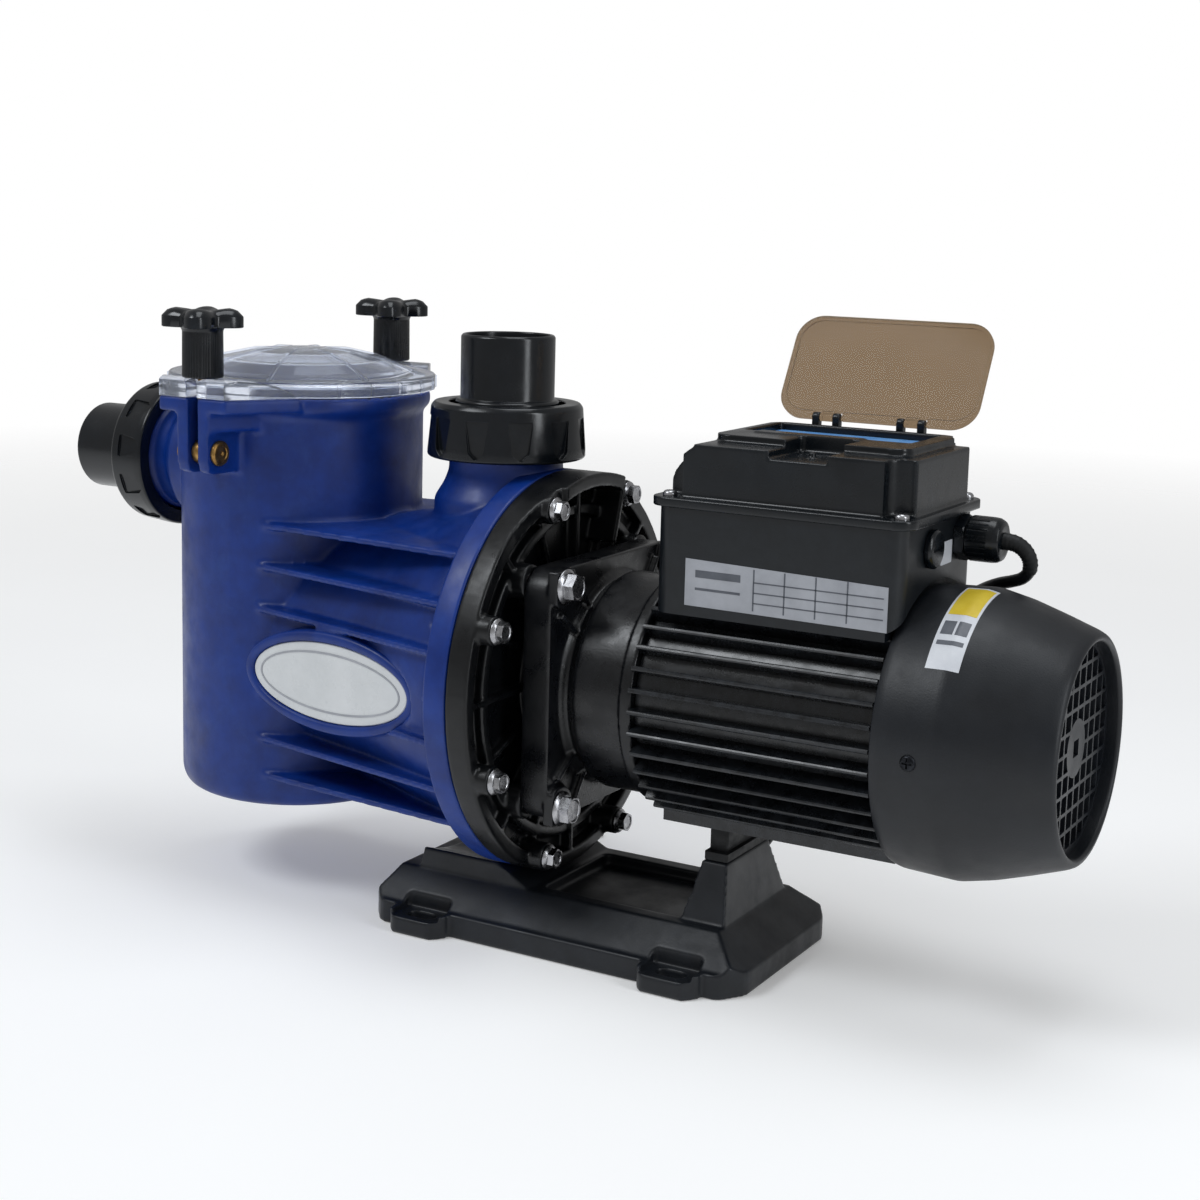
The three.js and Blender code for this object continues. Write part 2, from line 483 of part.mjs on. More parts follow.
// ---------------------------------------------------------------- motor
/** The bracket between the seal plate and the motor: a square flange with a bell behind it. */
function motorAdapter() {
  const half = ADAPTER.half;
  const flange = slabX(rounded(-half, half, AXIS_Z - half, AXIS_Z + half, 15), ADAPTER.back, ADAPTER.face);
  const { back, face, barrelR, end, rimX, rimR, roomR, roomX, holeR } = ADAPTER;
  const bell = spun([[face - 2, 0], [face - 2, 52], [face + 3, 52], [face + 6, 54], [face + 9, barrelR],
    [rimX, barrelR], [rimX, rimR], [end, rimR], [end, 0]], FINE);
  const hollow = spun([[back - 1, 0], [back - 1, roomR], [roomX, roomR], [roomX, holeR], [end + 1, holeR],
    [end + 1, 0]], MID);
  const boss = rodX(11.5, ADAPTER.face - 2, ADAPTER.boss, -ADAPTER.bolt, AXIS_Z + ADAPTER.bolt, MID);
  const bosses = common(join(...roundShaft(boss, steps(4))), block(0, 100, -half, half, AXIS_Z - half,
    AXIS_Z + half));
  const stud = rodX(4.3, ADAPTER.back - 1, ADAPTER.boss + 1, -ADAPTER.bolt, AXIS_Z + ADAPTER.bolt, 8);
  const seat = spun([[82, 0], [82, 17.8], [ADAPTER.end + 1, 17.8], [ADAPTER.end + 1, 0]], MID);
  return cut(join(flange, bell, bosses), hollow, seat, ...roundShaft(stud, steps(4)));
}
piece('motor_adapter', motorAdapter(), cast());

/** The finned motor housing, open at both ends, with a flat foot and a pad for the control box. */
function motorFrame() {
  const { front, rear, finR, rootR, boreR, fins, finW } = MOTOR;
  const tube = rodX(rootR, front, rear, 0, AXIS_Z, MID * 2, boreR);
  const fin = block(front, rear, -finW / 2, finW / 2, AXIS_Z + boreR + 2, AXIS_Z + finR);
  const angles = steps(fins).filter((a) => {
    const fromTop = Math.min(a, 360 - a);
    return fromTop > 38 && fromTop < 160;
  });
  const foot = block(front, rear, -FOOT.half, FOOT.half, FOOT.z, AXIS_Z - boreR - 2);
  const pad = block(BOX.x0 + 2, rear - 2, -36, 36, AXIS_Z + 38, BOX.bottom - GAP);
  const bore = rodX(boreR, front - 1, rear + 1, 0, AXIS_Z, MID * 2);
  return cut(join(tube, foot, pad, ...roundShaft(fin, angles)), bore);
}
piece('motor_frame', motorFrame(), cast());

piece('stator', spun([[112, 33], [112, 48.2], [190, 48.2], [190, 33]], MID), skin(0x6a5a48, 0.6, 0.4));
piece('rotor_core', spun([[114, 12.4], [114, 32], [188, 32], [188, 12.4]], MID), skin(0x8d9094, 0.4, 0.9));
piece('front_bearing', spun([[82.6, 9.95], [82.6, 17.3], [92, 17.3], [92, 9.95]], MID), steel());
piece('rear_bearing', spun([[220.6, 8.95], [220.6, 17.3], [230, 17.3], [230, 8.95]], MID), steel());

/** The motor's rear end shield, with the seat of the rear bearing. */
const endShield = spun([[MOTOR.rear + GAP, 9.4], [MOTOR.rear + GAP, 60], [226, 60], [228, 30], [234, 22],
  [234, 9.4], [230.4, 9.4], [230.4, 17.7], [220.2, 17.7], [220.2, 9.4]], MID);
piece('rear_end_shield', endShield, cast());

/** A radial cooling fan: a disc, a hub and flat blades. */
function coolingFan() {
  const hub = spun([[244, 8.9], [244, 14], [262, 14], [262, 8.9]], MID);
  const disc = spun([[252, 13], [252, 50], [254, 50], [254, 13]], MID);
  const blade = block(253, 276, -1.2, 1.2, AXIS_Z + 20, AXIS_Z + 48);
  return join(hub, disc, ...roundShaft(blade, steps(6)));
}
piece('cooling_fan', coolingFan(), skin(0x2a2c2f, 0.55));

/** The fan cover, with a square grille set back inside its rim. */
function fanCover() {
  const { front, widest, end, r, rMax, rEnd, lip } = COWL;
  const shell = spun([[front, r - 1.6], [front, r], [widest, rMax], [end - 4, rEnd + 1.7], [end, rEnd],
    [end, lip], [end - 5, lip - 0.5], [GRILLE.x - 1, lip], [widest - 1, rMax - 3]], FINE);
  const { x, thick, pitch, bar } = GRILLE;
  const plate = spun([[x - thick, 0], [x - thick, lip + 1.6], [x, lip + 1.6], [x, 0]], FINE);
  const cells = [];
  for (let row = -5; row < 5; row += 1) {
    for (let column = -5; column < 5; column += 1) {
      const [y, z] = [(column + 0.5) * pitch, (row + 0.5) * pitch];
      const far = Math.hypot(y, z);
      const side = (pitch - bar) / 2;
      if (far > lip - 5.4 || far < GRILLE.discR - 3) continue;
      cells.push(block(x - thick - 1, x + 1, y - side, y + side, AXIS_Z + z - side, AXIS_Z + z + side));
    }
  }
  const disc = rodX(GRILLE.discR, x - thick, x, 0, AXIS_Z, MID);
  const h = GRILLE.hole / 2;
  const middle = block(x - thick - 1, x + 1, -h, h, AXIS_Z - h, AXIS_Z + h);
  return cut(join(shell, cut(plate, ...cells), disc), middle);
}
piece('fan_cover', fanCover(), black());

// ---------------------------------------------------------------- control box
/** The lower box on top of the motor, open at the top, with holes for the gland and the blank. Its floor
 *  steps up over the fan cover's front edge. */
function terminalBox() {
  const { x0, x1, y, bottom, top, wall, floor, stepX, stepZ } = BOX;
  const outer = slab(rounded(x0, x1, -y, y, 9, 2), bottom, top);
  const room = slab(rounded(x0 + wall, x1 - wall, -y + wall, y - wall, 6, 2), floor, top + 1);
  const inner = cut(room, block(stepX, x1, -y, y, floor - 1, stepZ));
  const motorRoom = common(rodX(MOTOR.finR + 1, x0 - 10, x1 + 10, 0, AXIS_Z, MID * 2),
    block(x0 - 10, x1 + 10, -y, y, bottom - 10, floor - wall - 1));
  const cowlRoom = rodX(COWL.rMax + 1.5, COWL.front - 2, x1 + 10, 0, AXIS_Z, MID * 2);
  const glandHole = rodX(8.3, x1 - 6, x1 + 1, GLAND.y, GLAND.z, SMALL);
  const blankHole = rodX(6.3, x1 - 6, x1 + 1, BLANK.y, BLANK.z, SMALL);
  return cut(outer, inner, motorRoom, cowlRoom, glandHole, blankHole);
}
piece('terminal_box', terminalBox(), black());

/** Round room for the keys. */
const keyHoles = (z0, z1) => KEYS.map(([, x]) => rod(KEY.r + GAP, z0, z1, SMALL).translate(x, KEY.y, 0));

/** The two barrels of one lid hinge, on a foot at the cover's far edge. */
const hingeSeat = (x0, x1) => join(rodX(2.4, x0, x1, LOOK_LID.y, LOOK_LID.z, SMALL),
  block(x0, x1, LOOK_LID.y - 2.3, LOOK_LID.y + 2.3, COVER.top - 4, LOOK_LID.z),
  block(x0, x1, COVER.y - 3, LOOK_LID.y, COVER.top - 6, COVER.top - 0.6));

/** The box's cover: a rim, a raised middle with notched corners, and the frame round the keypad. */
function boxCover() {
  const rim = slab(rounded(RIM.x0, RIM.x1, -RIM.y, RIM.y, 10, 2), RIM.z0, RIM.z1);
  const raised = slab(rounded(COVER.x0, COVER.x1, -COVER.y, COVER.y, 8, 2), RIM.z1 - 1, COVER.top);
  const bezel = slab(rounded(BEZEL.x0, BEZEL.x1, BEZEL.y0, BEZEL.y1, 9, 2), COVER.top - 1, BEZEL.top);
  const hollow = block(COVER.x0 + 13, COVER.x1 - 13, -COVER.y + 3, COVER.y - 3, RIM.z0 - 1, 259.5);
  const window = block(KEYPAD.x0, KEYPAD.x1, KEYPAD.y0, KEYPAD.y1, KEYPAD.z0 - GAP, BEZEL.top + 1);
  const latchDip = block(LATCH.x1 - 30, LATCH.x1, -COVER.y - 1, LATCH.y0, 265.6, BEZEL.top + 1);
  const latchBar = block(LATCH.x0, LATCH.x1, LATCH.y0, LATCH.y1, COVER.top - 2, LATCH.top);
  const shoulder = slabY([[COVER.x0 - 9, 300], [COVER.x0 - 9, 250], [COVER.x0, 250], [COVER.x0 + 1.5, 254.5],
    [COVER.x0 + 4.5, 258.5], [COVER.x0 + 8, 261.5], [COVER.x0 + 13.5, 266], [COVER.x0 + 17, 268.4],
    [COVER.x0 + 17, 300]].reverse(), -60, 60);
  const corners = [[COVER.x0 + 3.5, -1], [COVER.x0 + 3.5, 1], [COVER.x1 - 3.5, -1], [COVER.x1 - 3.5, 1]]
    .map(([x, side]) => rod(8.6, RIM.z1, BEZEL.top + 1, SMALL).translate(x, side * (COVER.y - 3.5), 0));
  const seats = HINGES.flatMap((x) => [hingeSeat(x - 7.6, x - 3.6), hingeSeat(x + 3.6, x + 7.6)]);
  const frame = cut(join(cut(raised, shoulder), bezel), window, latchDip, hollow);
  return cut(join(rim, frame, latchBar, ...seats), hollow, ...corners, ...keyHoles(KEY.pocket, KEYPAD.z0));
}
piece('box_cover', boxCover(), black());

const keypad = block(KEYPAD.x0 + GAP, KEYPAD.x1 - GAP, KEYPAD.y0 + GAP, KEYPAD.y1 - GAP,
  KEYPAD.z0, KEYPAD.z1);
piece('control_panel', cut(keypad, ...keyHoles(KEYPAD.z0 - 1, KEYPAD.z1 + 1)), skin(0x4f8fd0, 0.45));
for (const [name, x] of KEYS) {
  const colour = name === 'button_stop' ? 0xb52a2f : 0x123c86;
  piece(name, rod(KEY.r, KEYPAD.z0 - 1, KEY.top, SMALL).translate(x, KEY.y, 0), skin(colour, 0.45));
}

/** The see-through lid over the keypad, standing open. It is made shut and turned about its hinge. */
function lookLid() {
  const { x0, x1, depth, thick, y, z } = LOOK_LID;
  const [near, far] = [y + 1 - depth, y + 1];
  const plate = slab(rounded(x0, x1, near, far, 14, 4), z - 0.2, z - 0.2 + thick);
  const sunk = slab(rounded(x0 + 2, x1 - 2, near + 2, far - 5, 12, 4), z + 1.4, z + 4);
  const ears = HINGES.map((x) => rodX(2.3, x - 3.3, x + 3.3, y, z, SMALL));
  const seatRoom = HINGES.flatMap((x) => [-5.6, 5.6].map((side) =>
    block(x + side - 2.3, x + side + 2.3, y - 3.4, y + 4, z - 4, z + 4)));
  return join(cut(plate, sunk, ...seatRoom), ...ears).translate(0, -y, -z)
    .rotateX(-LOOK_LID.open * Math.PI / 180).translate(0, y, z);
}
piece('timer_lid', lookLid(), seeThrough(0x5a4a38, 0.6));

/** The gland: a hexagon body in the box's wall and a domed nut that grips the cord. */
const glandX = BOX.x1 + GAP;
const glandBody = join(rodX(7.9, BOX.x1 - 8, glandX + 1, GLAND.y, GLAND.z, SMALL),
  rodX(11.5, glandX, glandX + 5.2, GLAND.y, GLAND.z, 6),
  rodX(8.4, glandX + 4, glandX + 15, GLAND.y, GLAND.z, MID));
const cordHole = (x0, x1) => rodX(CORD_R + GAP, x0, x1, GLAND.y, GLAND.z, SMALL);
piece('gland_body', cut(glandBody, cordHole(BOX.x1 - 9, glandX + 16)), black());
const glandNut = turned([[8.8, 0], [10.8, 0], [11.2, 1], [11.2, 14], [10, 17], [CORD_R + GAP + 0.6, 17],
  [CORD_R + GAP + 0.6, 15], [8.8, 12.4]], MID).rotateY(Math.PI / 2).translate(glandX + 5.6, GLAND.y, GLAND.z);
piece('gland_nut', glandNut, black());
const blank = join(rodX(5.9, BOX.x1 - 5, BOX.x1 + 1, BLANK.y, BLANK.z, SMALL),
  rodX(BLANK.r, BOX.x1 + GAP, BOX.x1 + 4, BLANK.y, BLANK.z, MID));
piece('blanking_plug', cut(blank, block(BOX.x1 + 3, BOX.x1 + 5, BLANK.y - 6, BLANK.y + 6, BLANK.z - 0.8,
  BLANK.z + 0.8)), black());

// ---------------------------------------------------------------- base
/** A block whose top is smaller than its foot. Each end is [x0, x1, half width, z]. */
function taperedBlock([ax0, ax1, ay, az], [bx0, bx1, by, bz]) {
  const corners = [[ax0, -ay, az], [ax1, -ay, az], [ax1, ay, az], [ax0, ay, az],
    [bx0, -by, bz], [bx1, -by, bz], [bx1, by, bz], [bx0, by, bz]];
  const g = new THREE.BoxGeometry(1, 1, 1);
  const at = g.attributes.position;
  for (let i = 0; i < at.count; i += 1) {
    const right = at.getX(i) > 0;
    const column = at.getY(i) > 0 ? (right ? 2 : 3) : (right ? 1 : 0);
    at.setXYZ(i, ...corners[column + (at.getZ(i) > 0 ? 4 : 0)]);
  }
  return g;
}

function baseFoot() {
  const { x0, x1, y, edge, ridge, inset } = BASE;
  const chamfered = [[x0, -y + 13], [x0 + 11, -y], [x1 - 10, -y], [x1, -y + 14], [x1, y - 14], [x1 - 10, y],
    [x0 + 11, y], [x0, y - 13]];
  const strip = slab(chamfered, 0, edge);
  const slope = common(slab(chamfered, edge - 2, ridge + 1),
    taperedBlock([x0 + 2, x1 - 1, y - 1.5, edge - 1], [x0 + 12, x1 - inset, y - inset, ridge]));
  const saddle = taperedBlock([-43, 28, y - inset, ridge - 1], [-39.7, -2, y - inset - 1, 42.4]);
  const tower = taperedBlock([112, 137, 37, ridge - 1], [118, 131.5, 25, 56.5]);
  const ears = EARS.flatMap((x) => [-1, 1].map((side) => {
    const outline = [[x, 56], [x, 67], [x + 4.4, 71], [x + 27, 71], [x + 33.5, 64], [x + 33.5, 56]];
    const flat = side > 0 ? outline.slice().reverse() : outline.map(([a, b]) => [a, -b]);
    return slab(flat, 0, edge - 0.5);
  }));
  const pockets = EARS.flatMap((x) => [-1, 1].map((side) =>
    block(x + 3, x + 30.5, Math.min(side * 53, side * 72), Math.max(side * 53, side * 72), edge - 3.5, 40)));
  const slots = EARS.flatMap((x) => [-1, 1].map((side) =>
    slab(rounded(x + 8.8, x + 24.8, side * 61 - 4.5, side * 61 + 4.5, 4.4, 2), -1, edge)));
  const trough = block(30, 116, -33, 33, 21, 60);
  const under = taperedBlock([x0 + 6, x1 - 6, y - 10, -1], [x0 + 12, x1 - inset - 6, y - inset - 6, 15]);
  const casing = rodX(FLANGE.r + GAP, -60, 60, 0, AXIS_Z, 72);
  return cut(join(strip, slope, saddle, tower, ...ears), ...pockets, ...slots, trough, under, casing);
}
piece('base', baseFoot(), black());

/** The stepped pad between the base's tower and the motor's foot. */
const padLow = block(118.2, 131.3, -24, 24, 56.5 + GAP, 61);
const padHigh = block(118.8, 129, -19, 19, 60, FOOT.z - GAP);
piece('motor_pad', join(padLow, padHigh), rubber());

// ---------------------------------------------------------------- power cord
const COIL = { x: -66, y: 114.5, inner: 23.7, outer: 42.3, height: 12.4 };
const PLUG = { x: COIL.x + CORD_R - COIL.outer, y: 141.5, z: 14.3 };
/** From the gland, down the far side of the motor, and along the floor to the coil. */
const CORD_ROUTE = [
  [247.9, GLAND.y, GLAND.z], [254, 28.2, 225.4], [258.6, 28.6, 222.3], [261, 29.4, 217.5],
  [260.4, 30.8, 212.4], [256.8, 32.6, 208.4], [251, 35.4, 205.8], [243, 40, 203], [234, 46.4, 198.6],
  [221, 54, 190.5], [204, 61, 177], [186, 66, 158], [168, 69, 135], [151, 70.5, 111], [136, 71.5, 87],
  [122, 72.5, 62], [108, 73.5, 38], [92, 74.5, 18.5], [72, 76, 7], [50, 77, 3.8], [20, 76.6, 3.5],
  [-12, 75.7, 3.5], [-41.8, 75.3, 3.5]];

function powerCord() {
  const points = CORD_ROUTE.map((p) => new THREE.Vector3(...p));
  const path = new THREE.CatmullRomCurve3(points, false, 'centripetal');
  const section = new THREE.Shape(oval(0, 0, CORD_R, CORD_R, 8).map(([a, b]) => new THREE.Vector2(a, b)));
  return new THREE.ExtrudeGeometry(section, { steps: 40, extrudePath: path });
}
piece('power_cord', powerCord(), rubber());
const coil = rod(COIL.outer, GAP, GAP + COIL.height, 32, COIL.inner);
piece('cord_coil', coil.translate(COIL.x, COIL.y, 0), rubber());

/** A two-pin plug lying on the floor past the coil, with the end of the cord. */
function mainsPlug() {
  const body = turned([[0, 0], [CORD_R, 0], [CORD_R, 8], [4.2, 9], [7.5, 26], [13, 30], [14, 33], [14, 58],
    [12, 62], [0, 62]], MID);
  const pins = [-9.5, 9.5].map((x) => rod(2.4, 61, 80, 10).translate(x, 0, 0));
  return join(body, ...pins).rotateX(-Math.PI / 2).translate(PLUG.x, PLUG.y, PLUG.z);
}
piece('plug', mainsPlug(), rubber());

export default pump;
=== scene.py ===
"""The looks of the pool pump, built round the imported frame.

Shapes are in millimetres until they become pieces, which are in metres.
"""

import json
import math

import bpy
import bmesh
from mathutils import Matrix, Vector

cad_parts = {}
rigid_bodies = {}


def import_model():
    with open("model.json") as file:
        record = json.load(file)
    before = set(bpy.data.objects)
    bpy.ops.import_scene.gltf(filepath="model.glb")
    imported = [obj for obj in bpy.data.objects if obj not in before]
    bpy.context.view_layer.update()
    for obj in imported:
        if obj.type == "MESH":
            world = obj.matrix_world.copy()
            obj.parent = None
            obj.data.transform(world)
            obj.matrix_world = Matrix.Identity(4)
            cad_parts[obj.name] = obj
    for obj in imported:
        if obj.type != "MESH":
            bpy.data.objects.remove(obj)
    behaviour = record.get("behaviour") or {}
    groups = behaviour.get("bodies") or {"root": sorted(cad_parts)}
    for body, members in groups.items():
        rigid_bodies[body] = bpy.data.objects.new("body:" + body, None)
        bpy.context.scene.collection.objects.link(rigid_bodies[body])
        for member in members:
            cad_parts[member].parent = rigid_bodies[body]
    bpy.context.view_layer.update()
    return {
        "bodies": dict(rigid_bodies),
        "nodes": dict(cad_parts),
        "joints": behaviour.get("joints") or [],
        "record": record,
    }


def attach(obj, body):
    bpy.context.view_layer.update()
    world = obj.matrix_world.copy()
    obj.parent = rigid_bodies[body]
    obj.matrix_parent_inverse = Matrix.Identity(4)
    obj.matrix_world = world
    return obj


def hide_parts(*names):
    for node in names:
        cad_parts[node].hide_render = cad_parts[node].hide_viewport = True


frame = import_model()
SCENE = bpy.context.scene
AXIS_Z = 137.2                       # height of the shaft
POT_X = -155.1                       # middle of the strainer pot
PUMP = "pump"                        # the body that everything fixed rides on


class Sizes(dict):
    """Named sizes in millimetres, read as attributes."""

    __getattr__ = dict.__getitem__


# ---------------------------------------------------------------- shapes: (points, faces)
def turned(profile, segments=96):
    """A solid of revolution about Z. Its (radius, height) points end on the axis or make a ring."""
    closed = profile[0][0] > 1e-6
    points, faces, rings = [], [], []
    for r, h in profile:
        if r < 1e-6:
            rings.append([len(points)] * segments)
            points.append((0.0, 0.0, h))
        else:
            rings.append(list(range(len(points), len(points) + segments)))
            points += [(r * math.cos(2 * math.pi * i / segments),
                        r * math.sin(2 * math.pi * i / segments), h) for i in range(segments)]
    pairs = list(zip(rings, rings[1:])) + ([(rings[-1], rings[0])] if closed else [])
    for a, b in pairs:
        for i in range(segments):
            j = (i + 1) % segments
            corner = [a[i], a[j], b[j], b[i]]
            face = [c for k, c in enumerate(corner) if c != corner[k - 1]]
            if len(face) > 2:
                faces.append(face)
    return points, faces


def softened(points, radius, closed=True):
    """The same outline with its corners rounded, each in three short steps."""
    out, count = [], 3
    for i, p in enumerate(points):
        if not closed and i in (0, len(points) - 1):
            out.append(tuple(p))
            continue
        p, a, b = Vector(p), Vector(points[i - 1]), Vector(points[(i + 1) % len(points)])
        cut_back = min(radius, (a - p).length * 0.45, (b - p).length * 0.45)
        start, end = p + (a - p).normalized() * cut_back, p + (b - p).normalized() * cut_back
        for k in range(count + 1):
            t = k / count
            out.append(tuple((1 - t) ** 2 * start + 2 * t * (1 - t) * p + t * t * end))
    return out


def lathe(profile, radius=0.6, segments=96):
    """turned(), with rounded profile corners."""
    return turned(softened(profile, radius, profile[0][0] > 1e-6), segments)


def moved(shape, x=0.0, y=0.0, z=0.0):
    return [(a + x, b + y, c + z) for a, b, c in shape[0]], shape[1]


def shift(x=0.0, y=0.0, z=0.0):
    return Matrix.Translation((x, y, z))


def turn(degrees, axis):
    return Matrix.Rotation(math.radians(degrees), 4, axis)


def placed(shape, matrix):
    return [tuple(matrix @ Vector(p)) for p in shape[0]], shape[1]


def along_x(shape, x=0.0, y=0.0, z=0.0):
    """Lays down a shape that stands on z = 0, so that it points along +X from a point."""
    return placed(shape, shift(x, y, z) @ turn(90, "Y"))


def hoops(rings, count, closed=False):
    """Faces between neighbouring rings of count points; if closed, also from the last to the first."""
    faces = []
    for k in range(rings if closed else rings - 1):
        a, b = k * count, (k + 1) % rings * count
        faces += [[a + i, a + (i + 1) % count, b + (i + 1) % count, b + i] for i in range(count)]
    return faces


def spun(profile, radius=0.6, segments=128):
    """A solid of revolution about the shaft from (x, radius) points."""
    return along_x(lathe([(r, x) for x, r in profile], radius, segments), z=AXIS_Z)


def rod(r, z0, z1, segments=48, inner=0.0, radius=0.0):
    profile = [(inner, z0), (r, z0), (r, z1), (inner, z1)]
    return lathe(profile, radius, segments) if radius else turned(profile, segments)


def rod_x(r, x0, x1, y, z, segments=48, inner=0.0, radius=0.0):
    return along_x(rod(r, x0, x1, segments, inner, radius), 0, y, z)


def slab(outline, z0, z1):
    """An outline of (a, b) points raised along Z."""
    n = len(outline)
    points = [(a, b, z0) for a, b in outline] + [(a, b, z1) for a, b in outline]
    faces = [list(range(n))[::-1], list(range(n, 2 * n))]
    faces += [[i, (i + 1) % n, n + (i + 1) % n, n + i] for i in range(n)]
    return points, faces


def slab_x(outline, x0, x1):
    """An outline of (y, z) points raised along X."""
    points, faces = slab(outline, x0, x1)
    return [(h, a, b) for a, b, h in points], faces


def slab_y(outline, y0, y1):
    """An outline of (x, z) points raised along Y."""
    points, faces = slab(outline, y0, y1)
    return [(a, h, b) for a, b, h in points], faces


def block(x0, x1, y0, y1, z0, z1):
    return slab([(x0, y0), (x1, y0), (x1, y1), (x0, y1)], z0, z1)


def rounded(x0, x1, y0, y1, r, steps=6):
    """Corner points of a rectangle with rounded corners."""
    centres = [(x1 - r, y1 - r), (x0 + r, y1 - r), (x0 + r, y0 + r), (x1 - r, y0 + r)]
    places = [(cx, cy, (q + i / steps) * math.pi / 2) for q, (cx, cy) in enumerate(centres)
              for i in range(steps + 1)]
    return [(cx + r * math.cos(a), cy + r * math.sin(a)) for cx, cy, a in places]


def oval(rx, ry, count):
    return [(rx * math.cos(2 * math.pi * i / count), ry * math.sin(2 * math.pi * i / count))
            for i in range(count)]


def mirrored(shape):
    return [(a, -b, c) for a, b, c in shape[0]], [f[::-1] for f in shape[1]]


def merged(*shapes):
    """Several shapes as one list of points and faces, without joining their solids."""
    points, faces = [], []
    for p, f in shapes:
        faces += [[i + len(points) for i in face] for face in f]
        points += p
    return points, faces


def round_shaft(shape, angles):
    """Copies turned about the shaft by angles in degrees."""
    about = shift(z=AXIS_Z)
    return [placed(shape, about @ turn(a, "X") @ about.inverted()) for a in angles]


def round_upright(shape, angles):
    """Copies turned about the Z axis by angles in degrees."""
    return [placed(shape, turn(a, "Z")) for a in angles]


def steps(count, start=0.0):
    """Evenly spaced angles round a full turn, in degrees."""
    return [start + 360 / count * i for i in range(count)]


# ---------------------------------------------------------------- joins and cuts
WORK = bpy.data.collections.new("work")
SCENE.collection.children.link(WORK)


def temporary(shape):
    """A work object with welded points and outward faces."""
    mesh = bpy.data.meshes.new("work")
    mesh.from_pydata(shape[0], [], shape[1])
    bm = bmesh.new()
    bm.from_mesh(mesh)
    bmesh.ops.remove_doubles(bm, verts=bm.verts, dist=1e-4)
    bmesh.ops.recalc_face_normals(bm, faces=bm.faces)
    bm.to_mesh(mesh)
    bm.free()
    obj = bpy.data.objects.new("work", mesh)
    WORK.objects.link(obj)
    return obj


def evaluated(obj, helpers=()):
    """The shape of an object with its modifiers, which is then thrown away with its helpers."""
    result = obj.evaluated_get(bpy.context.evaluated_depsgraph_get())
    mesh = result.to_mesh()
    shape = ([tuple(v.co) for v in mesh.vertices], [list(p.vertices) for p in mesh.polygons])
    result.to_mesh_clear()
    for o in [obj, *helpers]:
        data = o.data
        bpy.data.objects.remove(o)
        bpy.data.meshes.remove(data)
    return shape


def combined(base, tools, operation):
    obj = temporary(base)
    helpers = [temporary(t) for t in tools]
    for helper in helpers:
        change = obj.modifiers.new("change", "BOOLEAN")
        change.operation, change.solver, change.object = operation, "MANIFOLD", helper
    return evaluated(obj, helpers)


def join(*shapes):
    return combined(shapes[0], shapes[1:], "UNION")


def cut(base, *tools):
    return combined(base, tools, "DIFFERENCE")


def common(a, b):
    return combined(a, [b], "INTERSECT")


def moulded(shape, voxel, rounds, keep):
    """The shape as one skin with every inner corner filleted, as a casting has."""
    obj = temporary(shape)
    remesh = obj.modifiers.new("skin", "REMESH")
    remesh.mode, remesh.voxel_size = "VOXEL", voxel
    smooth = obj.modifiers.new("smooth", "SMOOTH")
    smooth.factor, smooth.iterations = 0.5, rounds
    if keep < 1:
        fewer = obj.modifiers.new("fewer", "DECIMATE")
        fewer.ratio = keep
    return evaluated(obj)


# ---------------------------------------------------------------- pieces
def piece(name, shape, look, body=PUMP, bevel=0.0, sharp=35.0, node=None):
    """Makes a shape one named piece of the object that rides on a body and may stand for a CAD node."""
    mesh = bpy.data.meshes.new(name)
    mesh.from_pydata([(a / 1000, b / 1000, c / 1000) for a, b, c in shape[0]], [], shape[1])
    bm = bmesh.new()
    bm.from_mesh(mesh)
    bmesh.ops.remove_doubles(bm, verts=bm.verts, dist=2e-6)
    bmesh.ops.dissolve_degenerate(bm, edges=bm.edges, dist=2e-6)
    if bevel:
        bmesh.ops.dissolve_limit(bm, angle_limit=math.radians(0.6), verts=bm.verts, edges=bm.edges)
    bmesh.ops.recalc_face_normals(bm, faces=bm.faces)
    bm.to_mesh(mesh)
    bm.free()
    obj = bpy.data.objects.new(name, mesh)
    SCENE.collection.objects.link(obj)
    mesh.materials.append(LOOK[look])
    mesh.shade_smooth()
    if bevel:
        edge = obj.modifiers.new("edges", "BEVEL")
        edge.width, edge.segments, edge.limit_method = bevel / 1000, 2, "ANGLE"
        edge.angle_limit, edge.use_clamp_overlap, edge.miter_outer = math.radians(32), True, "MITER_ARC"
        even = obj.modifiers.new("shading", "WEIGHTED_NORMAL")
        even.keep_sharp = True
        mesh.set_sharp_from_angle(angle=math.radians(75))
    else:
        mesh.set_sharp_from_angle(angle=math.radians(sharp))
    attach(obj, body)
    if node:
        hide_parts(node)
    return obj


# ---------------------------------------------------------------- materials
def srgb(r, g, b):
    """A colour given as it looks, 0 to 255, in the linear values that shaders take."""
    shares = (r / 255, g / 255, b / 255)
    return tuple(c / 12.92 if c <= 0.04045 else ((c + 0.055) / 1.055) ** 2.4 for c in shares)


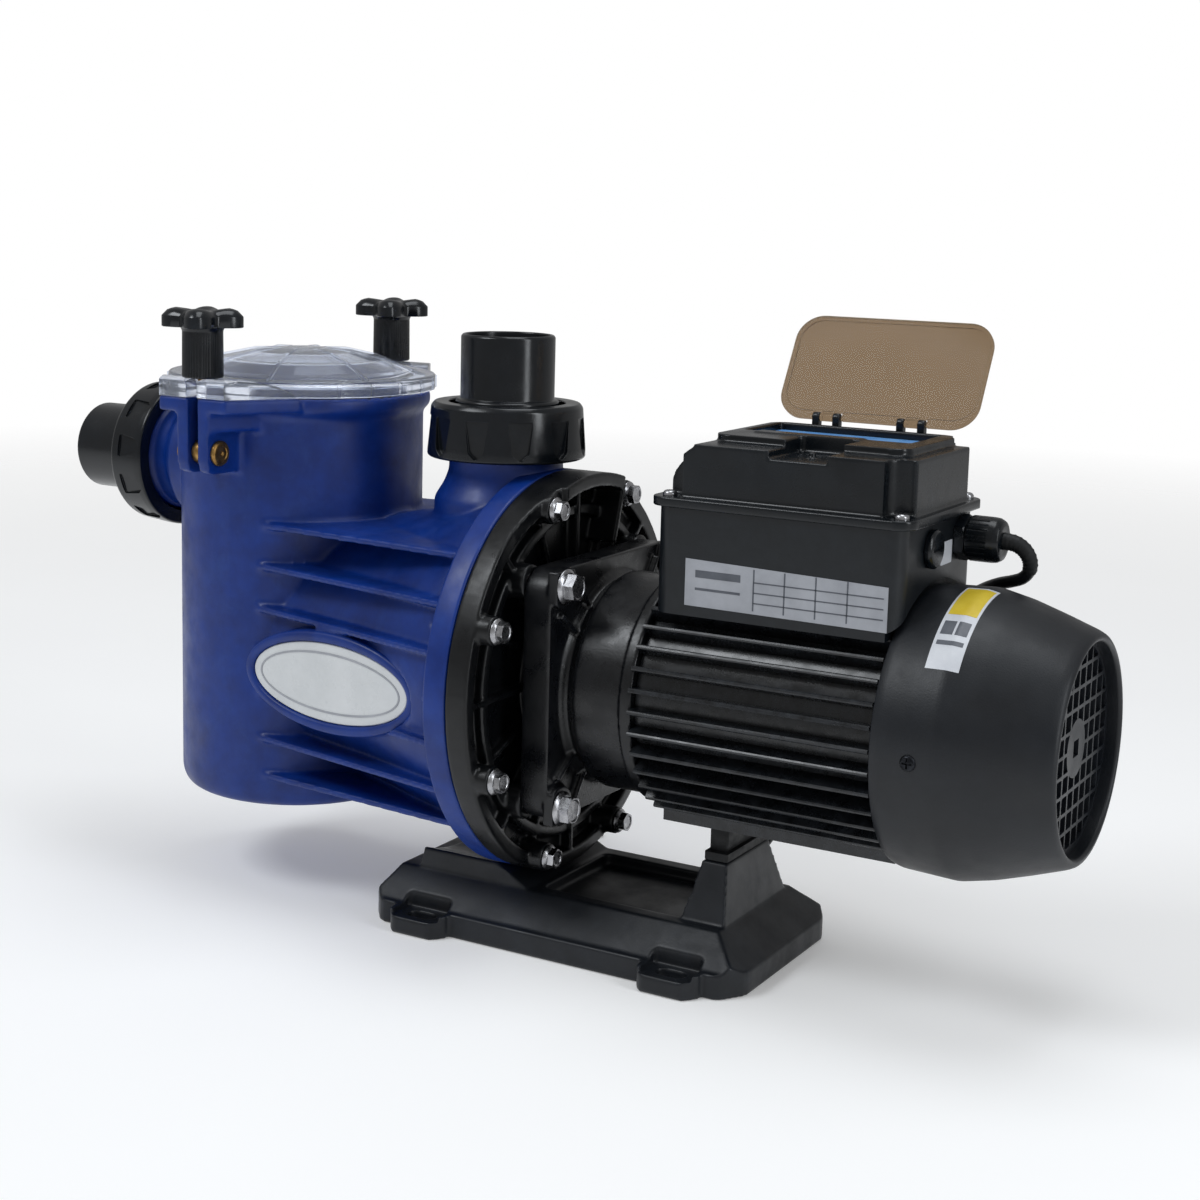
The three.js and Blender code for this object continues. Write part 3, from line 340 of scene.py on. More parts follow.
class Look:
    """A material whose nodes are added one call at a time."""

    def __init__(self, name):
        self.material = bpy.data.materials.new(name)
        self.material.use_nodes = True
        self.tree = self.material.node_tree
        self.shader = self.tree.nodes["Principled BSDF"]
        self.at = self.node("TexCoord").outputs["Object"]

    def node(self, kind, **values):
        made = self.tree.nodes.new("ShaderNode" + kind)
        for key, value in values.items():
            setattr(made, key, value)
        return made

    def join(self, source, target):
        self.tree.links.new(source, target)

    def noise(self, size, detail=4.0, roughness=0.55, stretch=(1, 1, 1), warp=0.0):
        """Noise whose patches are about size millimetres across."""
        place = self.node("Mapping")
        place.inputs["Scale"].default_value = stretch
        self.join(self.at, place.inputs["Vector"])
        noise = self.node("TexNoise")
        noise.inputs["Scale"].default_value = 1000 / size
        noise.inputs["Detail"].default_value = detail
        noise.inputs["Roughness"].default_value = roughness
        noise.inputs["Distortion"].default_value = warp
        self.join(place.outputs["Vector"], noise.inputs["Vector"])
        return noise.outputs["Fac"]

    def ramp(self, value, *stops):
        """A colour ramp. Each stop is (place, colour or grey level)."""
        ramp = self.node("ValToRGB")
        band = ramp.color_ramp
        while len(band.elements) < len(stops):
            band.elements.new(0.5)
        for element, (place, colour) in zip(band.elements, stops):
            element.position = place
            element.color = (*colour, 1) if isinstance(colour, tuple) else (colour, colour, colour, 1)
        self.join(value, ramp.inputs["Fac"])
        return ramp.outputs["Color"]

    def plain(self, colour):
        """One colour as a socket: a ramp whose two ends are the same."""
        return self.ramp(self.noise(5, 3), (0.3, colour), (0.7, colour))

    def mix(self, amount, a, b):
        """b laid over a, where amount, a and b are sockets."""
        mix = self.node("Mix", data_type="RGBA", blend_type="MIX")
        for value, socket in ((amount, mix.inputs["Factor"]), (a, mix.inputs["A"]), (b, mix.inputs["B"])):
            chosen = [s for s in mix.inputs if s.name == socket.name and s.enabled][0]
            self.join(value, chosen)
        return [s for s in mix.outputs if s.enabled][0]

    def bump(self, height, strength, distance, under=None):
        bump = self.node("Bump")
        bump.inputs["Strength"].default_value = strength
        bump.inputs["Distance"].default_value = distance / 1000
        self.join(height, bump.inputs["Height"])
        if under:
            self.join(under, bump.inputs["Normal"])
        return bump.outputs["Normal"]

    def edges(self):
        """White on the convex edges of the mesh."""
        return self.ramp(self.node("NewGeometry").outputs["Pointiness"], (0.53, 0.0), (0.62, 1.0))

    def use(self, **sockets):
        """Joins node outputs, or sets plain values, on the shader's own sockets."""
        for key, value in sockets.items():
            socket = self.shader.inputs[key.replace("_", " ")]
            if isinstance(value, bpy.types.NodeSocket):
                self.join(value, socket)
            else:
                socket.default_value = value
        return self


def moulding(name, dark, light, cloud, contrast, gloss, grain, depth, wear=None, frost=None,
             specular=0.5):
    """A moulded or painted surface: cloudy colour, uneven gloss, fine grain, rubbed edges, pale bloom.

    Colours are as they look, 0 to 255. cloud, grain and depth are in millimetres.
    """
    look = Look(name)
    colour = look.ramp(look.noise(cloud, 6, 0.62), (0.5 - contrast / 2, srgb(*dark)),
                       (0.5 + contrast / 2, srgb(*light)))
    if frost:
        bloom = look.ramp(look.noise(cloud * 0.8, 8, 0.72, warp=0.4), (0.5, 0.0), (0.85, 0.38))
        colour = look.mix(bloom, colour, look.plain(srgb(*frost)))
    if wear:
        patchy = look.ramp(look.noise(7, 5, 0.7), (0.35, 0.0), (0.7, 0.6))
        rubbed = look.mix(look.edges(), look.plain(0.0), patchy)
        colour = look.mix(rubbed, colour, look.plain(srgb(*wear)))
    rough = look.ramp(look.noise(cloud * 0.6, 5, 0.6), (0.35, gloss[0]), (0.65, gloss[1]))
    normal = look.bump(look.noise(grain, 3, 0.6), 0.5, depth)
    normal = look.bump(look.noise(22, 3, 0.5), 0.25, 0.25, normal)
    look.use(Base_Color=colour, Roughness=rough, Normal=normal, Specular_IOR_Level=specular)
    return look.material


# ---------------------------------------------------------------- camera, floor and light
CAMERA = Vector((549.86, -903.20, 382.39)) / 1000
YAW, PITCH, ROLL = (math.radians(a) for a in (29.47, -8.94, 1.46))
FOCAL, SENSOR = 60.38, 36.0
SHIFT_Y = -80 / 1200                 # the photo is cropped off-centre


def make_camera():
    forward = Vector((-math.sin(YAW) * math.cos(PITCH), math.cos(YAW) * math.cos(PITCH), math.sin(PITCH)))
    level = Vector((math.cos(YAW), math.sin(YAW), 0))
    up = level.cross(forward)
    right = level * math.cos(ROLL) + up * math.sin(ROLL)
    top = up * math.cos(ROLL) - level * math.sin(ROLL)
    facing = Matrix((right, top, -forward)).transposed().to_4x4()
    data = bpy.data.cameras.new("camera")
    data.lens, data.sensor_width, data.shift_y, data.clip_end = FOCAL, SENSOR, SHIFT_Y, 50
    camera = bpy.data.objects.new("camera", data)
    camera.matrix_world = shift(*CAMERA) @ facing
    SCENE.collection.objects.link(camera)
    SCENE.camera = camera


def make_floor():
    """A pale floor that fades into the white surroundings."""
    mesh = bpy.data.meshes.new("floor")
    reach, low = 8.0, -0.0004
    mesh.from_pydata([(-reach, -reach, low), (reach, -reach, low), (reach, reach, low),
                      (-reach, reach, low)], [], [(0, 1, 2, 3)])
    floor = bpy.data.objects.new("floor", mesh)
    SCENE.collection.objects.link(floor)
    look = Look("floor")
    look.use(Base_Color=look.ramp(look.noise(300, 2), (0.3, 0.86), (0.7, 0.88)), Roughness=0.75,
             Specular_IOR_Level=0.2, Emission_Color=(1, 1, 1, 1), Emission_Strength=0.2)
    far = look.node("VectorMath", operation="LENGTH")
    look.join(look.at, far.inputs[0])
    fade = look.node("MapRange")
    fade.inputs["From Min"].default_value, fade.inputs["From Max"].default_value = 0.7, 2.4
    look.join(far.outputs["Value"], fade.inputs["Value"])
    clear, blend = look.node("BsdfTransparent"), look.node("MixShader")
    look.join(fade.outputs["Result"], blend.inputs["Fac"])
    look.join(look.shader.outputs["BSDF"], blend.inputs[1])
    look.join(clear.outputs["BSDF"], blend.inputs[2])
    look.join(blend.outputs["Shader"], look.tree.nodes["Material Output"].inputs["Surface"])
    mesh.materials.append(look.material)


def area_light(name, at, to, width, height, power):
    data = bpy.data.lights.new(name, "AREA")
    data.shape, data.size, data.size_y, data.energy = "RECTANGLE", width, height, power
    data.color = (0.92, 0.96, 1.0)
    lamp = bpy.data.objects.new(name, data)
    lamp.location = at
    lamp.rotation_euler = (Vector(to) - Vector(at)).to_track_quat("-Z", "Y").to_euler()
    SCENE.collection.objects.link(lamp)


def make_light():
    """White surroundings that light the pump softly, and large soft lamps for its shape and gloss."""
    world = bpy.data.worlds.new("surroundings")
    world.use_nodes = True
    tree = world.node_tree
    background, path = tree.nodes["Background"], tree.nodes.new("ShaderNodeLightPath")
    level = tree.nodes.new("ShaderNodeMapRange")
    background.inputs["Color"].default_value = (1, 1, 1, 1)
    level.inputs["To Min"].default_value, level.inputs["To Max"].default_value = 0.34, 1.0
    seen = tree.nodes.new("ShaderNodeMath")
    seen.operation = "MAXIMUM"
    tree.links.new(path.outputs["Is Camera Ray"], seen.inputs[0])
    tree.links.new(path.outputs["Is Transmission Ray"], seen.inputs[1])
    tree.links.new(seen.outputs["Value"], level.inputs["Value"])
    tree.links.new(level.outputs["Result"], background.inputs["Strength"])
    SCENE.world = world
    area_light("key", (-1.0, -1.3, 2.0), (-0.05, 0, 0.15), 1.0, 0.8, 21)
    area_light("side", (1.7, -0.3, 0.9), (0.15, 0, 0.15), 0.35, 1.4, 9)
    area_light("top", (0.2, 0.2, 2.3), (0, 0, 0.1), 1.4, 1.0, 14)
    SCENE.view_settings.view_transform = "Standard"
    SCENE.view_settings.look = "None"


make_camera()
make_floor()
make_light()


def metal(name, dark, light, gloss):
    """Bare metal with turning marks, small stains and uneven gloss."""
    look = Look(name)
    colour = look.ramp(look.noise(4, 5, 0.65), (0.35, srgb(*dark)), (0.65, srgb(*light)))
    rough = look.ramp(look.noise(2.4, 4, 0.6), (0.3, gloss[0]), (0.7, gloss[1]))
    normal = look.bump(look.noise(0.5, 3, 0.6, stretch=(1, 1, 0.2)), 0.3, 0.03)
    look.use(Base_Color=colour, Roughness=rough, Normal=normal, Metallic=1.0)
    return look.material


def see_through(name, tint, smooth, clear, index):
    """Clear or smoked plastic, with an uneven gloss and a slightly wavy surface."""
    look, tint = Look(name), srgb(*tint)
    colour = look.ramp(look.noise(30, 4, 0.5), (0.3, tint),
                       (0.7, tuple(min(1.0, c * 1.05) for c in tint)))
    rough = look.ramp(look.noise(18, 4, 0.6), (0.35, smooth), (0.65, smooth + 0.05))
    normal = look.bump(look.noise(26, 2, 0.5), 0.2, 0.15)
    look.use(Base_Color=colour, Roughness=rough, Normal=normal, Transmission_Weight=clear, IOR=index)
    return look.material


LOOK = {
    "blue": moulding("blue_plastic", (0, 32, 100), (4, 52, 138), 26, 0.45, (0.34, 0.5), 1.2, 0.05,
                     wear=(36, 66, 146), frost=(40, 76, 146), specular=0.4),
    "black": moulding("black_plastic", (5, 9, 13), (12, 18, 24), 30, 0.4, (0.2, 0.34), 0.8, 0.04,
                      wear=(46, 52, 60), specular=0.42),
    "glossy": moulding("union_plastic", (6, 9, 13), (12, 17, 23), 26, 0.4, (0.16, 0.28), 1.5, 0.03,
                       wear=(46, 53, 62), specular=0.45),
    "box": moulding("box_plastic", (9, 13, 17), (16, 21, 26), 40, 0.4, (0.28, 0.4), 0.7, 0.05,
                    wear=(48, 54, 62), specular=0.42),
    "cowl": moulding("cowl_plastic", (12, 15, 20), (21, 25, 31), 45, 0.4, (0.36, 0.5), 0.9, 0.14,
                     wear=(50, 55, 63), specular=0.42),
    "plate": moulding("plate_plastic", (3, 4, 6), (9, 11, 14), 24, 0.4, (0.26, 0.42), 0.8, 0.06,
                      wear=(40, 45, 52), specular=0.4),
    "base": moulding("base_plastic", (12, 15, 20), (24, 28, 34), 30, 0.45, (0.34, 0.5), 1.0, 0.07,
                     wear=(70, 75, 84), frost=(48, 53, 61), specular=0.4),
    "cast": moulding("cast_metal", (4, 5, 8), (12, 14, 18), 20, 0.45, (0.22, 0.4), 1.1, 0.12,
                     wear=(56, 60, 67), specular=0.45),
    "inner": moulding("inner_plastic", (24, 26, 29), (40, 43, 47), 22, 0.4, (0.4, 0.55), 0.9, 0.05,
                      wear=(80, 84, 88)),
    "basket": moulding("basket_plastic", (128, 134, 144), (160, 166, 174), 22, 0.4, (0.34, 0.5), 0.9,
                       0.04, frost=(180, 184, 190)),
    "rubber": moulding("rubber", (14, 15, 16), (28, 30, 32), 12, 0.4, (0.5, 0.7), 0.7, 0.08,
                       frost=(60, 62, 64), specular=0.35),
    "cord": moulding("cord_rubber", (13, 15, 18), (25, 28, 32), 16, 0.4, (0.3, 0.44), 0.8, 0.04,
                     frost=(54, 58, 64)),
    "label": moulding("label_film", (150, 153, 160), (172, 175, 182), 18, 0.4, (0.3, 0.42), 1.4, 0.015),
    "print": moulding("label_lines", (74, 78, 86), (94, 98, 106), 9, 0.4, (0.32, 0.44), 1.0, 0.01),
    "sticker": moulding("sticker", (196, 199, 206), (214, 217, 222), 12, 0.4, (0.32, 0.42), 1.0, 0.015),
    "keypad": moulding("keypad_film", (84, 146, 214), (122, 176, 232), 14, 0.4, (0.26, 0.36), 0.7, 0.02),
    "key_blue": moulding("key_blue", (14, 46, 118), (28, 68, 150), 6, 0.4, (0.28, 0.4), 0.6, 0.02),
    "key_red": moulding("key_red", (160, 26, 30), (188, 44, 44), 6, 0.4, (0.28, 0.4), 0.6, 0.02),
    "seat": moulding("seal_ceramic", (204, 198, 186), (222, 218, 208), 6, 0.4, (0.18, 0.28), 0.5, 0.01),
    "core": moulding("core_steel", (104, 106, 110), (136, 138, 142), 5, 0.4, (0.4, 0.55), 0.5, 0.05),
    "winding": moulding("winding", (112, 62, 28), (156, 92, 44), 5, 0.4, (0.35, 0.5), 0.7, 0.2),
    "badge": moulding("badge_plate", (202, 206, 208), (220, 223, 225), 26, 0.5, (0.22, 0.36), 1.8, 0.02),
    "inlay": moulding("label_inlay", (206, 178, 30), (222, 196, 52), 12, 0.4, (0.34, 0.46), 1.0, 0.02),
    "dark_steel": metal("blackened_steel", (30, 31, 34), (52, 54, 58), (0.3, 0.45)),
    "steel": metal("stainless_steel", (148, 148, 152), (186, 186, 188), (0.2, 0.36)),
    "shaft": metal("shaft_steel", (156, 157, 160), (192, 192, 194), (0.14, 0.26)),
    "brass": metal("brass", (136, 100, 54), (184, 148, 90), (0.26, 0.46)),
    "clear": see_through("clear_plastic", (230, 236, 248), 0.05, 0.91, 1.49),
    "smoked": see_through("smoked_plastic", (128, 109, 87), 0.03, 1.0, 1.1),
    "aluminium": moulding("motor_aluminium", (3, 4, 6), (10, 12, 15), 18, 0.45, (0.2, 0.36), 1.0, 0.06,
                          wear=(54, 58, 64)),
}

# ---------------------------------------------------------------- casing
FLANGE_R, FLANGE_BACK, SPLIT, FRONT = 106.25, 1.3, 14.3, 27.4
POT_R, POT_BOTTOM, POT_TOP, LEDGE = 67.7, 48.9, 276.1, 203
SUCTION_Z, DISCHARGE_X = 231.55, -18.9
PIN_Y, PIN_Z, EAR_FRONT = 85, 247, 94.4
BOLT_CIRCLE, SCREW_HOLE = 98.7, 3.3
PORT_BORE, EYE_BORE, PIN_HOLE = 22.5, 26, 3.4        # radii
RIB_HALF, RIB_REACH, LUG_HALF, SLOT_HALF = 1.7, 105.2, 10.2, 3.3
BADGE = Sizes(x=-73.5, y=-81, z=132, rx=54.5, ry=21.3, frame=5.5, lean=6.3, deep=3)
RIB_LEVELS = (207, 184.5, 161.5, 139, 115.5, 89.5, 68.5)
EAR_PLAN = [(POT_X - 22, -94.4), (POT_X + 22, -94.4), (POT_X + 44, -58), (POT_X - 44, -58)]
COLLAR_BOLTS = steps(8, 22.5)


def on_badge(shape):
    """Turns a shape that stands on z = 0 to stand on the oval plate's seat."""
    return placed(shape, shift(BADGE.x, BADGE.y, BADGE.z) @ turn(-BADGE.lean, "Z") @ turn(90, "X"))


def badge_oval(grow, z0, z1):
    """A disc like the oval plate, larger by grow, between two heights above its seat."""
    return on_badge(slab(oval(BADGE.rx + grow, BADGE.ry + grow, 96), z0, z1))


def collar_holes(x0, x1):
    """The holes of the screws that hold the seal plate to the casing."""
    return merged(*round_shaft(rod_x(SCREW_HOLE, x0, x1, 0, AXIS_Z + BOLT_CIRCLE, 24), COLLAR_BOLTS))


def to_suction(shape):
    """Turns a shape that stands on z = 0 to point along -X from the middle of the suction port."""
    return placed(shape, shift(z=SUCTION_Z) @ turn(-90, "Y"))


def bolt_lug():
    """The forked lug of a swing bolt on the -Y side: two cheeks with a chamfer, under a level shelf."""
    back = -POT_R + 8
    side = [(back, 235.5), (-87.4, 235.5), (-92.4, 237.5), (-94.2, 242.5), (-94.2, 274), (back, 274)]
    web = [(POT_X - LUG_HALF, -94), (POT_X + LUG_HALF, -94), (POT_X + 24, -62), (POT_X - 24, -62)]
    return [slab_x(side, POT_X - LUG_HALF, POT_X + LUG_HALF), slab(EAR_PLAN, POT_TOP - 7.6, POT_TOP),
            common(slab_x(side, POT_X - 30, POT_X + 30), slab(web, 258, POT_TOP - 1))]


def casing():
    """Strainer pot, volute, ports, ribs and lugs as one moulding, hollow inside."""
    pot = lathe([(0, POT_BOTTOM), (58.7, POT_BOTTOM), (65.1, 51.9), (POT_R, 57.9), (POT_R, 265.1),
                 (71.5, 268.1), (71.5, POT_TOP), (0, POT_TOP)], 3, 128)
    pot = moved(pot, POT_X)
    trunk = spun([(-150, 0), (-150, 58), (-60, 80), (-4, 97), (FLANGE_BACK + 1, 97),
                  (FLANGE_BACK + 1, 104), (SPLIT, 104), (SPLIT, 0)], 2)
    outlet = moved(lathe([(0, AXIS_Z + 40), (38, AXIS_Z + 40), (38, 226), (33, 234), (30.4, 241),
                          (30.4, 249), (33, 249.4), (33, 265.7), (0, 265.7)], 2), DISCHARGE_X)
    inlet = to_suction(lathe([(0, 150), (38, 150), (38, 222), (30.4, 230), (30.4, 240), (33, 240.4),
                              (33, 252.8), (0, 252.8)], 2))
    ribs = []
    for z in RIB_LEVELS:
        reach = math.sqrt(RIB_REACH ** 2 - (z - AXIS_Z) ** 2)
        ribs.append(slab([(-145, -63), (3, -reach), (3, reach), (-145, 63)], z - RIB_HALF, z + RIB_HALF))
    lug = bolt_lug()
    outside = join(pot, trunk, outlet, inlet, *ribs, badge_oval(BADGE.frame - 0.6, -22, 1.2), *lug,
                   *(mirrored(part) for part in lug))
    slot = block(POT_X - SLOT_HALF, POT_X + SLOT_HALF, -EAR_FRONT - 1, -POT_R - 6.5, 234, POT_TOP + 1)
    pin_hole = rod_x(PIN_HOLE, POT_X - 15, POT_X + 15, -PIN_Y, PIN_Z)
    pot_room = moved(lathe([(0, 54), (56, 54), (60, 60), (60, LEDGE), (63.4, LEDGE), (63.4, POT_TOP + 1),
                            (0, POT_TOP + 1)], 1), POT_X)
    groove = moved(turned([(65, POT_TOP - 3), (69, POT_TOP - 3), (69, POT_TOP + 1), (65, POT_TOP + 1)]),
                   POT_X)
    eye = rod_x(EYE_BORE, POT_X + 20, -20, 0, AXIS_Z, 96)
    volute = spun([(-62, 0), (-62, 60), (-20, 84), (SPLIT + 1, 86), (SPLIT + 1, 0)], 2)
    ring_groove = spun([(SPLIT - 3, 88), (SPLIT - 3, 92), (SPLIT + 1, 92), (SPLIT + 1, 88)], 0.2)
    out_bore = moved(rod(PORT_BORE, AXIS_Z + 30, 267, 96), DISCHARGE_X)
    in_bore = rod_x(PORT_BORE, -254, POT_X, 0, SUCTION_Z, 96)
    # the end of the rib that meets the oval plate is taken off beside it
    rib_end = cut(on_badge(block(40, 75.1, -12, 12, 1.5, 33)), trunk)
    shape = cut(outside, block(SPLIT, SPLIT + 30, -60, 60, 160, 245), slot, mirrored(slot), pin_hole,
                mirrored(pin_hole), pot_room, groove, eye, volute, ring_groove, out_bore, in_bore,
                badge_oval(0.2, 0, 33), badge_oval(BADGE.frame + 0.3, 2.2, 33),
                rib_end, collar_holes(-6, SPLIT + 1))
    return moulded(shape, 1.3, 3, 0.34)


def make_casing():
    piece("pump_casing", casing(), "blue", node="pump_body", sharp=60)
    rim = spun([(FLANGE_BACK, 96), (FLANGE_BACK, FLANGE_R), (SPLIT, FLANGE_R), (SPLIT, 96)], 1.6)
    piece("casing_flange", cut(rim, collar_holes(-6, SPLIT + 1)), "blue")
    frame_ring = cut(on_badge(lathe_oval(BADGE.frame, BADGE.deep)), badge_oval(-0.2, -9, 9))
    piece("badge_frame", frame_ring, "blue", sharp=50)
    plate = badge_oval(-0.4, 0.3, BADGE.deep - 1.4)
    piece("badge_face", plate, "badge", node="badge_plate", bevel=0.5)
    line = cut(badge_oval(-5.2, BADGE.deep - 1.45, BADGE.deep - 1.1), badge_oval(-6.2, -3, 9))
    piece("badge_line", line, "label")
    lid_ring = moved(sealing_ring(67, POT_TOP - 1.5), POT_X)
    casing_ring = along_x(sealing_ring(90, 0), SPLIT - 1.5, 0, AXIS_Z)
    for name, ring in (("lid_oring", lid_ring), ("casing_oring", casing_ring)):
        piece(name + "_ring", ring, "rubber", node=name)


def lathe_oval(width, height):
    """A raised oval rim with a rounded top, drawn as stacked ovals."""
    levels = [(0.0, -6.0), (0.0, height - 1.6), (-0.5, height - 0.6), (-1.4, height),
              (-width + 1.2, height), (-width + 0.3, height - 0.5), (-width, height - 1.3),
              (-width, -6.0)]
    count = 128
    points = [(a, b, z) for grow, z in levels
              for a, b in oval(BADGE.rx + width + grow, BADGE.ry + width + grow, count)]
    return points, hoops(len(levels), count, closed=True)


def sealing_ring(radius, z):
    """A round rubber ring about the Z axis."""
    return turned([(radius + 1.45 * math.cos(a), z + 1.45 * math.sin(a))
                   for a in (2 * math.pi * k / 16 for k in range(16))], 128)


# ---------------------------------------------------------------- unions
NECKS = {"discharge": (265.7, 312.9, 248.2, 277.3), "suction": (252.8, 304.3, 239.2, 264.4)}
NUT_PANELS, NUT_PHASE = 11, -47.7


def union_tail(length):
    """A pipe tail that stands on z = 0 on its flange."""
    return lathe([(PORT_BORE, 0.3), (32.6, 0.3), (32.6, 5), (27.5, 5), (27.5, 12), (26.6, 13),
                  (25, 13.4), (25, length - 1.2), (24, length), (23, length), (PORT_BORE, length - 0.6)],
                 0.5, 128)


def union_nut(height):
    """A union nut that stands on z = 0, with sunk grip panels round it."""
    body = lathe([(34, 0), (41.2, 0), (42.1, 1), (42.1, 5), (40.4, height - 2.4), (38.6, height),
                  (31, height), (31, height - 6), (34, height - 6)], 0.9, 176)
    panel = slab_x(softened([(0, 1.4), (4.5, 5.3), (6.6, height - 7.3), (-6.6, height - 7.3),
                             (-4.5, 5.3)], 1.2), 39.5, 48)
    return cut(body, merged(*round_upright(panel, steps(NUT_PANELS, NUT_PHASE))))


def make_unions():
    for side, (neck, end, nut_in, nut_out) in NECKS.items():
        tail = moved(union_tail(end - neck), 0, 0, neck)
        nut = moved(union_nut(nut_out - nut_in), 0, 0, nut_in)
        tail, nut = (moved(s, DISCHARGE_X) if side == "discharge" else to_suction(s) for s in (tail, nut))
        piece(side + "_spigot", tail, "glossy", node=side + "_tail")
        piece(side + "_union_nut", nut, "glossy", side + "_nut_body", bevel=0.7, node=side + "_nut")


# ---------------------------------------------------------------- strainer
LID_BOTTOM, LID_TOP, BAND = 276.4, 298.5, 8.6
KNOB = Sizes(foot=286.4, under=313, top=323.2, lobe=17.4, swell=4.1, turn=29.5, stem=10.9)


def lid_ear():
    """The strainer lid's forked ear on the -Y side, rounded so that the swing bolt's knob can pass."""
    drum = rod_x(KNOB.foot - PIN_Z - 0.3, POT_X - 44, POT_X + 44, -PIN_Y, PIN_Z, 160)
    return common(slab(EAR_PLAN, LID_BOTTOM, LID_TOP), drum)


def strainer_lid():
    """The clear lid: a ribbed dome with a fluted band, a spigot and two forked ears."""
    band = LID_BOTTOM + BAND
    dome = lathe([(0, LID_BOTTOM), (74.4, LID_BOTTOM), (74.4, band - 1), (73.4, band), (66, band),
                  (60, band + 3), (46, band + 8), (28, LID_TOP - 1.6), (12, LID_TOP), (0, LID_TOP)], 1.2,
                 144)
    spigot = rod(62.8, LID_BOTTOM - 7, LID_BOTTOM + 1, 144)
    rib = slab_y([(14, LID_TOP - 6), (70, band - 4), (70, band + 0.6), (47, band + 8.8),
                  (28, LID_TOP - 0.6), (14, LID_TOP)], -0.9, 0.9)
    flutes = round_upright(slab_y([(72, LID_BOTTOM + 0.6), (75.2, LID_BOTTOM + 0.6), (75.2, band - 1.4),
                                   (72, band - 0.4)], -0.8, 0.8), steps(24, 7.5))
    ear = lid_ear()
    hollow = lathe([(0, LID_BOTTOM - 8), (58.5, LID_BOTTOM - 8), (58.5, LID_BOTTOM + 5), (44, band + 4),
                    (26, LID_TOP - 5.6), (0, LID_TOP - 4)], 1.5, 144)
    fork = block(POT_X - 3.7, POT_X + 3.7, -96, -PIN_Y + 4.4, LID_BOTTOM - 1, KNOB.foot + 5)
    centred = [dome, spigot, *round_upright(rib, steps(8, 22.5)), *flutes]
    return cut(join(*(moved(s, POT_X) for s in centred), ear, mirrored(ear)), moved(hollow, POT_X), fork,
               mirrored(fork))


def strainer_basket():
    """A slotted basket that hangs on its rim, with a bow for a handle."""
    rim = LEDGE + 0.3
    shell = lathe([(0, 57), (50, 57), (52, 59), (58, rim), (62.9, rim), (62.9, rim + 3), (57.5, rim + 3),
                   (55.8, 198), (50, 60.5), (0, 60.5)], 0.6, 120)
    bow_line = [(-57.2, 200), (-53.6, 200), (-48, 232), (-30, 252), (30, 252), (48, 232), (53.6, 200),
                (57.2, 200), (51.5, 234.5), (32, 256), (-32, 256), (-51.5, 234.5)]
    bow = placed(slab_y(softened(bow_line, 4), -2.4, 2.4), turn(90, "Z"))
    slots = [s for z in range(66, 190, 21) for s in round_upright(block(44, 66, -2.2, 2.2, z, z + 16),
                                                                  steps(24, 7.5))]
    return moved(cut(join(shell, bow), merged(*slots)), POT_X)


def swing_bolt():
    """An eye bolt with a thread, on the -Y side."""
    eye = rod_x(6.4, POT_X - 2.9, POT_X + 2.9, -PIN_Y, PIN_Z, radius=0.5)
    thread = [(2.9 if k % 2 else 2.5, PIN_Z + 6 + 0.5 * k) for k in range(120)]
    shank = moved(turned([(0, PIN_Z), *thread, (0, 315)], 32), POT_X, -PIN_Y)
    return cut(join(eye, shank), rod_x(2.75, POT_X - 4, POT_X + 4, -PIN_Y, PIN_Z))


def hinge_pin():
    """A rivet through the lug, with a plain head and a ringed one."""
    w = 10.5
    pin = lathe([(0, -w - 2.6), (5.6, -w - 2.6), (6.8, -w - 1.6), (6.8, -w), (2.55, -w), (2.55, w),
                 (6.8, w), (6.8, w + 1.5), (5.7, w + 2.4), (3.9, w + 2.6), (3.7, w + 2.2), (1.3, w + 2.2),
                 (1.0, w + 1.5), (0, w + 1.5)], 0.3, 64)
    return along_x(pin, POT_X, -PIN_Y, PIN_Z)


def hand_knob():
    """A tube with a four-lobed wavy grip whose top is dished, on the -Y side."""
    phase, count = math.radians(KNOB.turn), 144
    under, top = KNOB.under, KNOB.top
    rows = [(under, 0.0, 0.0), (under, 0.975, 0.0), (under + 0.35, 1.0, 0.0), (top - 4.6, 1.0, 0.0),
            (top - 4.2, 0.992, 0.1), (top - 1.3, 0.86, 0.9), (top - 0.5, 0.76, 1.3), (top, 0.66, 1.4),
            (top - 0.2, 0.58, 1.1), (top - 1.2, 0.46, 0.5), (top - 2.2, 0.3, 0.1), (top - 2.4, 0.0, 0.0)]
    points = []
    for z, share, wave in rows:
        for i in range(count):
            a = 2 * math.pi * i / count
            r = (KNOB.lobe + KNOB.swell * math.cos(4 * a)) * share
            points.append((r * math.cos(a + phase), r * math.sin(a + phase),
                           z - wave * (1 - math.cos(4 * a)) * 0.5))
    grip = points, hoops(len(rows), count)
    stem = lathe([(0, KNOB.foot), (10.2, KNOB.foot), (10.9, KNOB.foot + 0.7), (10.7, KNOB.under - 2),
                  (12, KNOB.under + 1), (0, KNOB.under + 1)], 0.4, 96)
    flute = rod(0.42, KNOB.foot - 1, KNOB.under - 3, 8)
    flutes = merged(*[placed(flute, turn(a, "Z") @ shift(11.05)) for a in steps(44)])
    hole = rod(3.3, KNOB.foot - 1, KNOB.under + 2.6)
    return moved(cut(join(grip, stem), flutes, hole), POT_X, -PIN_Y)


